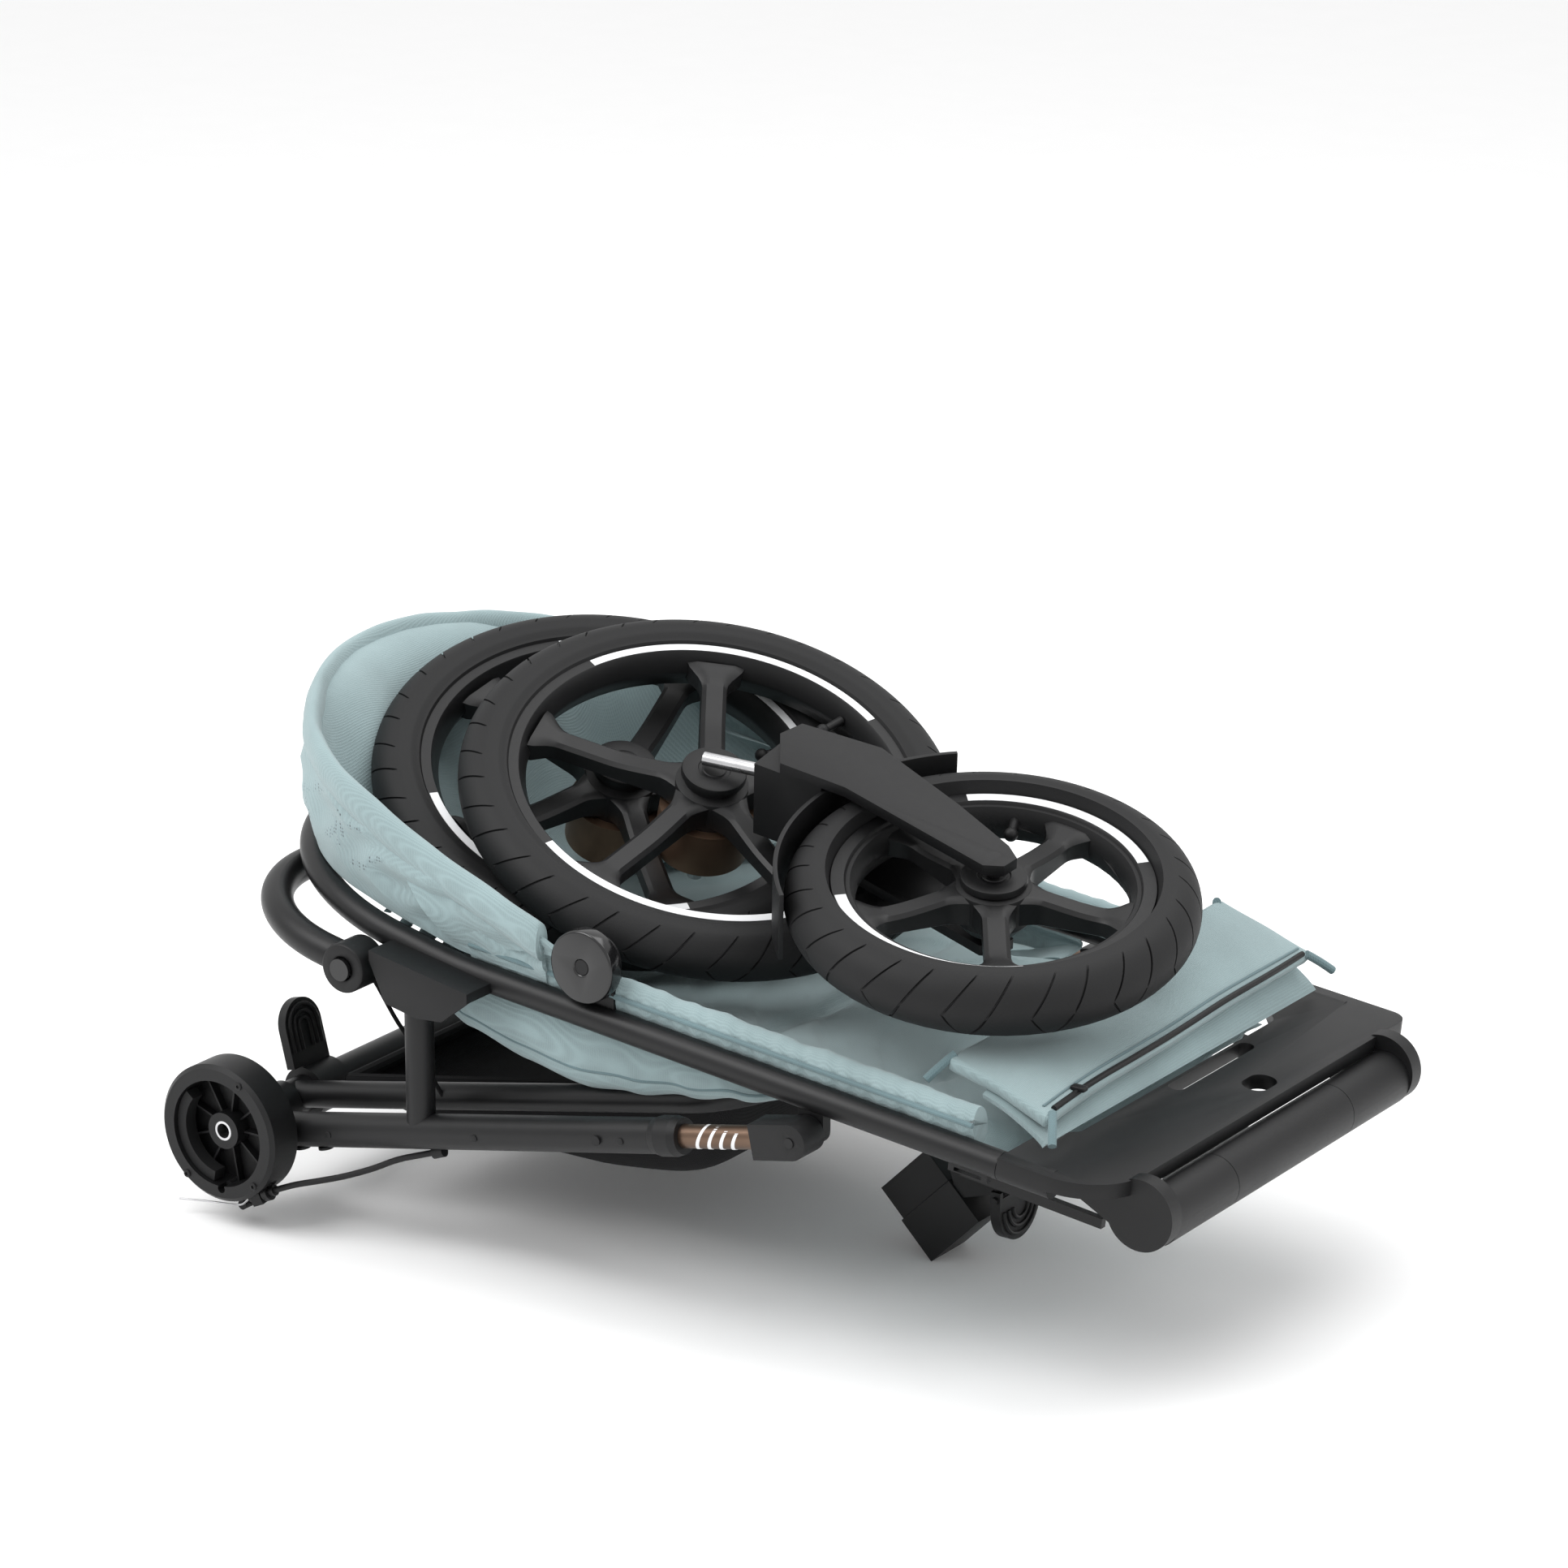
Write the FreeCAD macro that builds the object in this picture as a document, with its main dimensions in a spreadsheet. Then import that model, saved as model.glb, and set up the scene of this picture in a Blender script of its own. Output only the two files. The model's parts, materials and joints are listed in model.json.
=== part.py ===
"""Three-wheeled jogging stroller, folded flat with its wheels taken off and laid on the seat.

Frame: +X forward (towards the footrest), +Y to the rider's left, +Z up, millimetres.
The floor is Z = 0.  Stations called "back" are measured rearwards from the footrest roll,
stations called "up" are measured upwards from the roll's axis.
"""
import FreeCAD, Part
import Sketcher
import math
import os
import re

from FreeCAD import Placement, Rotation, Vector

SIZES = {
    # where the whole object stands
    "origin_back": 422.4, "roll_height": 161.0,
    # legs, axle and fold pivot
    "axle_back": 789.0, "axle_up": -82.0, "leg_slope": 0.209, "leg_half": 235.0,
    "leg_drop": 11.0, "leg_outer": 14.0, "leg_wall": 1.5, "leg_reach": 400.0,
    "axle_outer": 15.0, "axle_wall": 2.0, "sleeve_outer": 18.0, "sleeve_inner_end": 200.0,
    "collar_outer": 15.8, "collar_length": 26.0, "stanchion_radius": 9.25, "stanchion_wall": 1.5,
    "stanchion_engaged": 70.0, "pivot_reach": 532.0, "pivot_fitting_radius": 14.0,
    "pivot_fitting_back": 36.0, "pivot_fitting_width": 27.0, "pivot_bolt_radius": 4.0,
    "running_gap": 0.06, "piece_gap": 0.5,
    # basket, its tube and the posts
    "basket_tube_half": 188.0, "basket_tube_outer": 11.0, "basket_tube_reach": 455.0,
    "basket_tube_bend": 60.0, "basket_tube_rise": 3.0, "basket_gap": 3.0, "basket_skin": 3.0,
    "post_back": 621.0, "post_radius": 11.5, "post_top_up": 51.0, "post_wall": 1.5,
    # brake plates
    "plate_face": 285.0, "plate_radius": 57.0, "plate_depth": 31.0, "plate_ring": 13.0,
    "plate_web": 8.0, "plate_boss": 15.0, "bush_outer": 8.0, "bush_bore": 6.1, "bush_length": 26.0,
    "rib_count": 9.0, "rib_thickness": 1.6, "rib_depth": 7.0, "shoe_width": 9.0, "shoe_depth": 12.0,
    "shoe_angle": 120.0, "arm_pivot_drop": 46.0, "arm_pin_radius": 3.5, "arm_thickness": 5.0,
    "arm_length": 22.0, "arm_half_width": 6.0, "pinch_radius": 4.0, "pinch_length": 12.0,
    "adjuster_radius": 4.5, "adjuster_length": 26.0, "lug_block": 14.0, "cable_radius": 2.5, "wire_radius": 0.8,
    # parking brake pedal
    "pedal_inner": 141.0, "pedal_width": 44.0, "pedal_collar": 21.0, "pedal_height": 76.0,
    "pedal_collar_width": 34.0, "pedal_paddle_from": 22.0,
    "pedal_thickness": 8.0, "pedal_lean": 14.0,
    # seat ring
    "ring_half": 214.0, "ring_outer": 11.0, "ring_wall": 1.5, "seam_back": 100.0, "seam_up": 25.0,
    "kink_back": 600.0, "kink_up": 76.0, "tail_back": 835.0, "tail_up": 130.0, "tail_bend": 180.0,
    "kink_bend": 400.0, "lug_thickness": 10.0, "lug_radius": 11.0,
    "rail_length": 44.0,
    # footrest and roll
    "board_half": 226.0, "board_thickness": 12.0, "board_front": 6.0, "board_notch": 20.0,
    "board_up": 13.4, "board_near_bend": 52.0, "board_far_bend": 14.0,
    "slot_width": 13.0, "slot_half": 58.0, "slot_shift": 31.0, "slot_back": 70.0,
    "oval_width": 22.0, "oval_half": 16.0, "oval_back": 28.0,
    "cheek_radius": 28.0, "cheek_thickness": 14.0, "roll_radius": 21.5, "roll_ahead": 4.0,
    "roll_drop": 6.0, "roll_half": 187.0, "roll_middle_half": 86.0, "roll_gap": 0.6,
    "spigot_radius": 12.0, "spigot_length": 20.0,
    # folding front arm, stem socket and lever
    "arm_width": 44.0, "arm_depth": 22.0, "socket_back": 263.0, "socket_tilt": 45.0,
    "socket_length": 70.0, "socket_width": 48.0, "socket_depth": 62.0, "socket_collar": 30.0,
    "socket_step": 1.5,
    "stem_radius": 5.5, "stem_length": 66.0, "stem_gap": 0.06, "lever_width": 58.0,
    "lever_length": 46.0, "lever_thickness": 9.0, "lever_back": 223.0, "lever_up": -110.0,
    "lever_pin_radius": 3.0, "lever_pin_drop": 6.5, "lever_clearance": 3.0,
    # handlebar
    "hub_back": 678.0, "hub_up": 72.0, "hub_radius": 20.0, "hub_face": 260.0, "hub_width": 30.0,
    "handle_half": 243.0, "handle_outer": 13.0, "handle_wall": 3.0, "handle_rear_back": 812.0,
    "handle_rear_up": 98.0, "handle_bend": 108.0, "button_radius": 9.0, "button_length": 8.0,
    "button_travel": 3.0, "hub_pin_radius": 6.0,
    # canopy
    "canopy_back": 471.0, "canopy_up": 106.0, "canopy_disc": 29.0, "canopy_disc_width": 14.0,
    "bow_half": 221.0, "bow_tube": 5.0, "bow_reach": 425.0, "bow_bend": 190.0, "bow_angle": 21.0,
    "canopy_pin": 6.0, "canopy_skin": 5.0, "canopy_sweep": 16.5,
    # seat
    "seat_half": 199.0,
    # wheels
    "rear_radius": 199.5, "rear_section": 23.5, "rear_rim": 161.0, "rear_rim_inner": 146.0,
    "rim_width": 34.0, "front_radius": 158.5, "front_section": 27.0, "front_rim": 122.0,
    "front_rim_inner": 108.0, "spoke_count": 5.0, "spoke_width": 18.0, "spoke_depth": 18.0, "spoke_top": 6.0,
    "hub_barrel": 20.0, "hub_barrel_half": 24.0, "drum_radius": 38.0, "drum_wall": 4.0,
    "drum_end": 52.0, "stub_radius": 6.0, "stub_end": 86.0,
    # fork
    "fork_gap": 5.0, "fork_arm": 9.0, "fork_boss": 17.0, "crown_reach": 166.0, "crown_length": 62.0,
    "crown_width": 60.0, "trail": 44.0, "stem_lean": 13.6,
    "stem_aside": 11.0, "fork_bolt_radius": 5.0, "guard_gap": 5.0,
    "guard_thickness": 3.5, "guard_width": 58.0, "guard_angle": 96.0,
}

# wheel stack at rest: centre as (back, left, up) and upward normal of each wheel's plane
WHEELS = {
    "a": {"back": 514.0, "left": 2.0, "up": 173.0, "normal": (0.349, -0.245), "spin": 50.6},
    "b": {"back": 609.0, "left": 12.0, "up": 159.0, "normal": (0.349, -0.245), "spin": 31.9},
    "front": {"back": 221.0, "left": -41.0, "up": 156.0, "normal": (0.155, -0.196), "spin": 16.5},
}

SIDES = (("right", -1.0), ("left", 1.0))

doc = FreeCAD.newDocument("jogging_stroller")
sheet = doc.addObject("Spreadsheet::Sheet", "Sizes")
for row, (alias, amount) in enumerate(SIZES.items(), start=1):
    sheet.set("A%d" % row, alias)
    sheet.set("B%d" % row, repr(amount))
    sheet.setAlias("B%d" % row, alias)
doc.recompute()

WORD = re.compile(r"[a-z][a-z_]*")
parts = {}


def bound(text):
    """Turn 'leg_outer - leg_wall' into an expression on the sheet."""
    return WORD.sub(lambda word: "Sizes." + word.group(0), text)


def size(text):
    """Value of an expression on the sheet."""
    return float(sheet.evalExpression(bound(text)))


def keep(node, thing):
    """Register an object as the named sub-part."""
    thing.Label = node
    parts[node] = thing
    return thing


# ---------------------------------------------------------------- frames

def spot(back, left, up):
    """Place given rearwards of the roll, to the left and up from the roll's axis."""
    return Vector(size("origin_back") - back, left, size("roll_height") + up)


def leg_frame():
    """Frame on the rear axle whose +X runs forward along the legs."""
    base = spot(size("axle_back"), 0.0, size("axle_up"))
    return Placement(base, Rotation(Vector(0, 1, 0), -math.degrees(math.atan(size("leg_slope")))))


def ring_angle():
    """Rearward rise of the straight seat ring, in degrees."""
    rise = size("kink_up - seam_up")
    run = size("kink_back - seam_back")
    return math.degrees(math.atan2(rise, run))


def ring_up(back):
    """Height of the seat ring's centre line over the roll's axis."""
    if back <= size("kink_back"):
        slope = size("(kink_up - seam_up) / (kink_back - seam_back)")
        return size("seam_up") + (back - size("seam_back")) * slope
    slope = size("(tail_up - kink_up) / (tail_back - kink_back)")
    return size("kink_up") + (back - size("kink_back")) * slope


def pivot_place():
    """Centre of the fold pivot."""
    return leg_frame().multVec(Vector(size("pivot_reach"), 0, -size("leg_drop")))


def across(point, side=1.0):
    """Placement that turns a primitive's +Z onto +Y (side 1) or -Y (side -1)."""
    return Placement(point, Rotation(Vector(1, 0, 0), -90.0 * side))


def wheel_frame(key):
    """Frame on a wheel's centre with +Z along its upward normal and +X forward in its plane."""
    data = WHEELS[key]
    nx, ny = data["normal"]
    normal = Vector(nx, ny, math.sqrt(1 - nx * nx - ny * ny))
    forward = Vector(1, 0, 0) - normal * nx
    forward.normalize()
    return Placement(spot(data["back"], data["left"], data["up"]),
                     Rotation(forward, normal.cross(forward), normal, "ZXY"))


# ---------------------------------------------------------------- builders

def cylinder(name, radius, height, place, angle=None):
    thing = doc.addObject("Part::Cylinder", name)
    thing.setExpression("Radius", bound(radius))
    thing.setExpression("Height", bound(height))
    if angle:
        thing.setExpression("Angle", bound(angle))
    thing.Placement = place
    return thing


def block(name, length, width, height, place):
    """Box centred on the placement's origin in X and Y, standing on it in Z."""
    thing = doc.addObject("Part::Box", name)
    thing.setExpression("Length", bound(length))
    thing.setExpression("Width", bound(width))
    thing.setExpression("Height", bound(height))
    shift = Placement(Vector(-size(length) / 2, -size(width) / 2, 0), Rotation())
    thing.Placement = place.multiply(shift)
    return thing


def fuse(name, *things):
    thing = doc.addObject("Part::MultiFuse", name)
    thing.Shapes = list(things)
    return thing


def cut(name, base, tool):
    thing = doc.addObject("Part::Cut", name)
    thing.Base = base
    thing.Tool = tool
    return thing


def common(name, first, second):
    thing = doc.addObject("Part::MultiCommon", name)
    thing.Shapes = [first, second]
    return thing


def group(name, *things):
    """Several separate solids kept as one sub-part."""
    thing = doc.addObject("Part::Compound", name)
    thing.Links = list(things)
    return thing


def feature(name, shape):
    thing = doc.addObject("Part::Feature", name)
    thing.Shape = shape
    return thing


def round_path(points, bends):
    """Wire of straight runs joined by tangent arcs; bends holds one radius per inner point."""
    edges = []
    start = points[0]
    for index, radius in enumerate(bends, start=1):
        corner = points[index]
        before = (points[index - 1] - corner).normalize()
        after = (points[index + 1] - corner).normalize()
        turn = math.pi - before.getAngle(after)
        reach = radius * math.tan(turn / 2)
        first = corner + before * reach
        last = corner + after * reach
        middle_way = (before + after).normalize()
        middle = corner + middle_way * (radius / math.cos(turn / 2) - radius)
        if (first - start).Length > 1e-6:
            edges.append(Part.LineSegment(start, first).toShape())
        edges.append(Part.Arc(first, middle, last).toShape())
        start = last
    edges.append(Part.LineSegment(start, points[-1]).toShape())
    return Part.Wire(edges)


def swept(points, bends, radius):
    """Solid round bar along a path."""
    path = round_path(points, bends)
    ring = Part.Wire(Part.makeCircle(radius, points[0], points[1] - points[0]))
    return path.makePipeShell([ring], True, True)


def tube(name, points, bends, outer, wall):
    """Hollow tube along a path, with its sizes from the sheet."""
    shell = swept(points, bends, size(outer)).cut(swept(points, bends, size(outer + " - " + wall)))
    return feature(name, shell)


def profile_body(name, corners, place, length=None, both=False):
    """Body from a closed outline on its XZ plane, padded to a length or turned about its Z axis.

    Each corner is a pair of expressions; the sketch's constraints are bound to the sheet.
    """
    body = doc.addObject("PartDesign::Body", name)
    plane = [item for item in body.Origin.OriginFeatures if item.Role == "XZ_Plane"][0]
    sketch = body.newObject("Sketcher::SketchObject", name + "_outline")
    sketch.AttachmentSupport = [(plane, "")]
    sketch.MapMode = "FlatFace"
    spots = [Vector(size(across_x), size(up_z), 0) for across_x, up_z in corners]
    count = len(spots)
    for index in range(count):
        sketch.addGeometry(Part.LineSegment(spots[index], spots[(index + 1) % count]))
    for index in range(count):
        add_link(sketch, index, (index + 1) % count)
    for index, (across_x, up_z) in enumerate(corners):
        add_distance(sketch, "DistanceX", index, across_x)
        add_distance(sketch, "DistanceY", index, up_z)
    if length is None:
        solid = body.newObject("PartDesign::Revolution", name + "_turn")
        solid.Profile = sketch
        solid.ReferenceAxis = (sketch, ["V_Axis"])
        solid.Angle = 360.0
    else:
        solid = body.newObject("PartDesign::Pad", name + "_pad")
        solid.Profile = sketch
        solid.setExpression("Length", bound(length))
        if both:
            solid.Midplane = True
    body.Tip = solid
    body.Placement = place
    return body


def add_link(sketch, first, second):
    sketch.addConstraint(Sketcher.Constraint("Coincident", first, 2, second, 1))


def add_distance(sketch, kind, index, text):
    """Tie a corner to the sketch's origin, whatever side of it the corner lies on."""
    amount = size(text)
    if abs(amount) < 1e-7:
        axis = -2 if kind == "DistanceX" else -1
        sketch.addConstraint(Sketcher.Constraint("PointOnObject", index, 1, axis))
        return
    if amount > 0:
        number = sketch.addConstraint(Sketcher.Constraint(kind, -1, 1, index, 1, amount))
        sketch.setExpression("Constraints[%d]" % number, bound(text))
    else:
        number = sketch.addConstraint(Sketcher.Constraint(kind, index, 1, -1, 1, -amount))
        sketch.setExpression("Constraints[%d]" % number, bound("-(" + text + ")"))


def extruded(points, direction):
    """Solid from a closed polygon of points moved along a direction."""
    face = Part.Face(Part.makePolygon(points + [points[0]]))
    return face.extrude(direction)


# ---------------------------------------------------------------- rear frame

def make_legs():
    frame = leg_frame()
    for side, sign in SIDES:
        line = frame.multiply(Placement(Vector(0, sign * size("leg_half"), -size("leg_drop")),
                                        Rotation(Vector(0, 1, 0), 90)))
        outer = cylinder("leg_skin_" + side, "leg_outer", "leg_reach", line)
        inner = cylinder("leg_hollow_" + side, "leg_outer - leg_wall", "leg_reach", line)
        hollow = cut("leg_hollowed_" + side, outer, inner)
        sleeve = cylinder("leg_sleeve_room_" + side, "sleeve_outer", "plate_face",
                          across(frame.Base, sign))
        keep("leg_tube_" + side, cut("leg_tube_" + side, hollow, sleeve))
    collars = []
    for side, sign in SIDES:
        line = frame.multiply(Placement(Vector(size("leg_reach"), sign * size("leg_half"),
                                               -size("leg_drop")), Rotation(Vector(0, 1, 0), 90)))
        outline = [("stanchion_radius + running_gap", "0"),
                   ("leg_outer", "0"),
                   ("collar_outer", "collar_length / 4"),
                   ("collar_outer", "collar_length * 3 / 4"),
                   ("leg_outer", "collar_length"),
                   ("stanchion_radius + running_gap", "collar_length")]
        collars.append(profile_body("collar_" + side, outline, line))
    keep("leg_collars", group("leg_collars", *collars))


def make_axle():
    base = leg_frame().Base
    start = base + Vector(0, -size("sleeve_inner_end"), 0)
    outer = cylinder("axle_skin", "axle_outer", "2 * sleeve_inner_end", across(start))
    inner = cylinder("axle_hollow", "axle_outer - axle_wall", "2 * sleeve_inner_end", across(start))
    keep("axle_tube", cut("axle_tube", outer, inner))
    sleeves = []
    for side, sign in SIDES:
        end = base + Vector(0, sign * size("sleeve_inner_end"), 0)
        length = "plate_face - plate_depth - sleeve_inner_end"
        outer = cylinder("sleeve_skin_" + side, "sleeve_outer", length, across(end, sign))
        inner = cylinder("sleeve_hollow_" + side, "bush_outer", length, across(end, sign))
        sleeves.append(cut("sleeve_" + side, outer, inner))
    keep("axle_sleeves", group("axle_sleeves", *sleeves))


def make_basket_tube():
    frame = leg_frame()
    half = size("basket_tube_half")
    reach = size("basket_tube_reach")
    rise = size("basket_tube_rise")
    corners = [Vector(0, -half, rise), Vector(reach, -half, rise),
               Vector(reach, half, rise), Vector(0, half, rise)]
    bend = size("basket_tube_bend")
    bar = tube("basket_tube_bar", [frame.multVec(point) for point in corners], [bend, bend],
               "basket_tube_outer", "leg_wall")
    room = cylinder("basket_axle_room", "axle_outer", "2 * sleeve_inner_end",
                    across(frame.Base + Vector(0, -size("sleeve_inner_end"), 0)))
    keep("basket_tube", cut("basket_tube", bar, room))


def make_posts():
    frame = leg_frame()
    posts = []
    for side, sign in SIDES:
        foot = leg_frame().multVec(Vector(size("axle_back - post_back"), 0, -size("leg_drop")))
        place = Placement(Vector(foot.x, sign * size("leg_half"), foot.z), Rotation())
        height = "post_top_up - axle_up + leg_drop - (axle_back - post_back) * leg_slope"
        outer = cylinder("post_skin_" + side, "post_radius", height, place)
        inner = cylinder("post_hollow_" + side, "post_radius - post_wall",
                         height + " - post_wall", place)
        hollow = cut("post_hollowed_" + side, outer, inner)
        line = frame.multiply(Placement(Vector(0, sign * size("leg_half"), -size("leg_drop")),
                                        Rotation(Vector(0, 1, 0), 90)))
        room = cylinder("post_leg_room_" + side, "leg_outer", "leg_reach", line)
        posts.append(cut("post_" + side, hollow, room))
    keep("frame_posts", group("frame_posts", *posts))


def make_plates():
    base = leg_frame().Base
    flat = "0"
    for side, sign in SIDES:
        face = base + Vector(0, sign * size("plate_face"), 0)
        outline = [("bush_outer", "plate_web"), ("plate_boss", "plate_web"),
                   ("plate_boss", "plate_depth - plate_web"),
                   ("plate_radius - plate_ring", "plate_depth - plate_web"),
                   ("plate_radius - plate_ring", flat), ("plate_radius - 2 * rib_thickness", flat),
                   ("plate_radius", "2 * rib_thickness"), ("plate_radius", "plate_depth"),
                   ("bush_outer", "plate_depth")]
        disc = profile_body("plate_disc_" + side, outline, across(face, -sign))
        pieces = [disc]
        count = int(size("rib_count"))
        for number in range(count):
            turn = Placement(Vector(), Rotation(Vector(0, 0, 1), number * 360.0 / count))
            middle = size("(plate_boss + plate_radius - plate_ring) / 2")
            lift = size("plate_depth - plate_web - rib_depth")
            middle += size("rib_thickness / 4")
            place = across(face, -sign).multiply(turn).multiply(
                Placement(Vector(middle, 0, lift), Rotation()))
            pieces.append(block("plate_rib_%s_%d" % (side, number),
                                "plate_radius - plate_ring - plate_boss + 3 * rib_thickness",
                                "rib_thickness", "rib_depth + rib_thickness", place))
        pieces.append(block("plate_lug_" + side, "lug_block", "lug_block", "lug_block * 0.7",
                            adjuster_place(sign, "adjuster_length * 0.45")))
        solid = fuse("plate_solid_" + side, *pieces)
        pin_room = cylinder("plate_pin_room_" + side, "arm_pin_radius + running_gap",
                            "plate_depth", across(arm_pivot(sign, 0.0), sign))
        barrel_room = cylinder("plate_barrel_room_" + side, "adjuster_radius + running_gap",
                               "2 * adjuster_length", adjuster_place(sign, "0"))
        nut_room = cylinder("plate_nut_room_" + side, "adjuster_radius + cable_radius + piece_gap",
                            "adjuster_length * 0.45 + lug_block",
                            adjuster_place(sign, "-lug_block"))
        rooms = fuse("plate_rooms_" + side, pin_room, barrel_room, nut_room)
        keep("brake_plate_" + side, cut("brake_plate_" + side, solid, rooms))
    bushes = []
    shoes = []
    for side, sign in SIDES:
        start = base + Vector(0, sign * size("plate_face - plate_web"), 0)
        outer = cylinder("bush_skin_" + side, "bush_outer", "bush_length", across(start, -sign))
        inner = cylinder("bush_hole_" + side, "bush_bore", "bush_length", across(start, -sign))
        bushes.append(cut("bush_" + side, outer, inner))
        inset = size("plate_depth - plate_web - rib_depth - shoe_depth")
        start = base + Vector(0, sign * (size("plate_face") - inset), 0)
        turn = Placement(Vector(), Rotation(Vector(0, 0, 1), 100.0 if sign < 0 else -40.0))
        place = across(start, -sign).multiply(turn)
        outer = cylinder("shoe_skin_" + side, "plate_radius - plate_ring - piece_gap", "shoe_depth",
                         place, "shoe_angle")
        inner = cylinder("shoe_room_" + side, "plate_radius - plate_ring - shoe_width",
                         "shoe_depth", place)
        shoes.append(cut("shoe_" + side, outer, inner))
    keep("axle_bushes", group("axle_bushes", *bushes))
    keep("brake_shoes", group("brake_shoes", *shoes))


def arm_pivot(sign, inboard):
    """Point on the brake arm's pivot axis, so far inboard of the plate's back."""
    left = sign * (size("plate_face - plate_depth") - inboard)
    return spot(size("axle_back") - 3.0, left, size("axle_up - arm_pivot_drop"))


def make_brake_arms():
    for side, sign in SIDES:
        gap = size("piece_gap")
        pin = cylinder("arm_pin_" + side, "arm_pin_radius", "plate_depth - plate_web / 2",
                       across(arm_pivot(sign, gap + size("arm_thickness")), sign))
        length = size("arm_length")
        lever = block("arm_bar_" + side, "2 * arm_half_width", "arm_thickness",
                      "arm_length + arm_half_width",
                      Placement(arm_pivot(sign, gap + size("arm_thickness") / 2)
                                - Vector(0, 0, length), Rotation()))
        start = arm_pivot(sign, gap + size("arm_thickness")) - Vector(0, 0, length)
        bolt = cylinder("arm_bolt_" + side, "pinch_radius", "pinch_length",
                        across(start, sign))
        keep("brake_arm_" + side, fuse("brake_arm_" + side, pin, lever, bolt))


def adjuster_place(sign, along):
    """Placement on the cable adjuster's axis, +Z away from the cable."""
    points = mirrored(cable_points(), sign)
    way = (points[0] - points[1]).normalize()
    return Placement(points[0] + way * size(along), Rotation(Vector(0, 0, 1), way))


def mirrored(points, sign):
    """The right side's points, or their mirror image for the left side."""
    return [Vector(point.x, -sign * point.y, point.z) for point in points]


def cable_points():
    """Route of the right brake cable, from its adjuster up to the plug under the leg tube."""
    leg_under = leg_frame().multVec(Vector(172.0, -size("leg_half"), -size("leg_drop")))
    return [spot(743, -270, -124), spot(724, -268.5, -115.5), spot(704, -264, -109.5),
            spot(684, -257, -103.5), spot(662, -248, -95), spot(643, -240, -85),
            leg_under + Vector(8, 0, -size("leg_outer") - 2.0)]


def make_cables():
    cables = []
    plugs = []
    tabs = []
    for side, sign in SIDES:
        points = mirrored(cable_points(), sign)
        bends = bend_radii(points)
        FreeCAD.Console.PrintMessage("brake cable bends: %s\n" % [round(bend, 1) for bend in bends])
        line = swept(points, bends, size("cable_radius"))
        length = round_path(points, bends).Length
        expected = length * math.pi * size("cable_radius") ** 2
        if abs(line.Volume / expected - 1) > 0.02:
            raise ValueError("the brake cable's sweep has lost volume")
        FreeCAD.Console.PrintMessage("brake cable length %.1f mm\n" % length)
        cables.append(feature("brake_cable_" + side, line))
        start = adjuster_place(sign, "0")
        barrel = cylinder("barrel_" + side, "adjuster_radius", "adjuster_length", start)
        nut = cylinder("barrel_nut_" + side, "adjuster_radius + cable_radius",
                       "adjuster_length * 0.2", adjuster_place(sign, "adjuster_length * 0.2"))
        hole = cylinder("barrel_hole_" + side, "cable_radius / 2", "adjuster_length", start)
        tabs.append(cut("adjuster_" + side, fuse("barrel_body_" + side, barrel, nut), hole))
        end = points[-1]
        back = (points[-1] - points[-2]).normalize()
        cap = cylinder("cable_plug_skin_" + side, "2 * cable_radius", "4 * cable_radius",
                       Placement(end, Rotation(Vector(0, 0, 1), back)))
        leg_line = leg_frame().multiply(Placement(
            Vector(0, sign * size("leg_half"), -size("leg_drop")), Rotation(Vector(0, 1, 0), 90)))
        room = cylinder("cable_plug_room_" + side, "leg_outer", "leg_reach", leg_line)
        plugs.append(cut("cable_plug_" + side, cap, room))
    keep("brake_cables", group("brake_cables", *cables))
    keep("cable_adjusters", group("cable_adjusters", *tabs))
    keep("cable_plugs", group("cable_plugs", *plugs))
    make_wires()


def bend_radii(points):
    """Arc radii as large as the two runs beside each point allow."""
    radii = []
    for index in range(1, len(points) - 1):
        before = points[index - 1] - points[index]
        after = points[index + 1] - points[index]
        turn = math.pi - before.getAngle(after)
        radii.append(0.45 * min(before.Length, after.Length) / math.tan(turn / 2))
    return radii


def make_wires():
    """Bare inner wire from the adjuster past the brake arm's pinch bolt to its free end."""
    wires = []
    for side, sign in SIDES:
        points = mirrored(cable_points(), sign)
        way = (points[0] - points[1]).normalize()
        start = points[0] + way * size("adjuster_length + piece_gap")
        pinch = arm_pivot(sign, 0.0) - Vector(0, 0, size("arm_length"))
        clear = size("plate_face - plate_depth - piece_gap - arm_thickness + pinch_length")
        beside = Vector(pinch.x, sign * (clear + size("wire_radius + piece_gap")), pinch.z)
        route = [start, (start + beside) * 0.5 - Vector(0, 0, 0.8), beside,
                 beside + Vector(-25, sign * 8, 0.5), beside + Vector(-48, sign * 19, 1.5)]
        wires.append(feature("brake_wire_" + side,
                             swept(route, bend_radii(route), size("wire_radius"))))
    keep("brake_wires", group("brake_wires", *wires))


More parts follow.
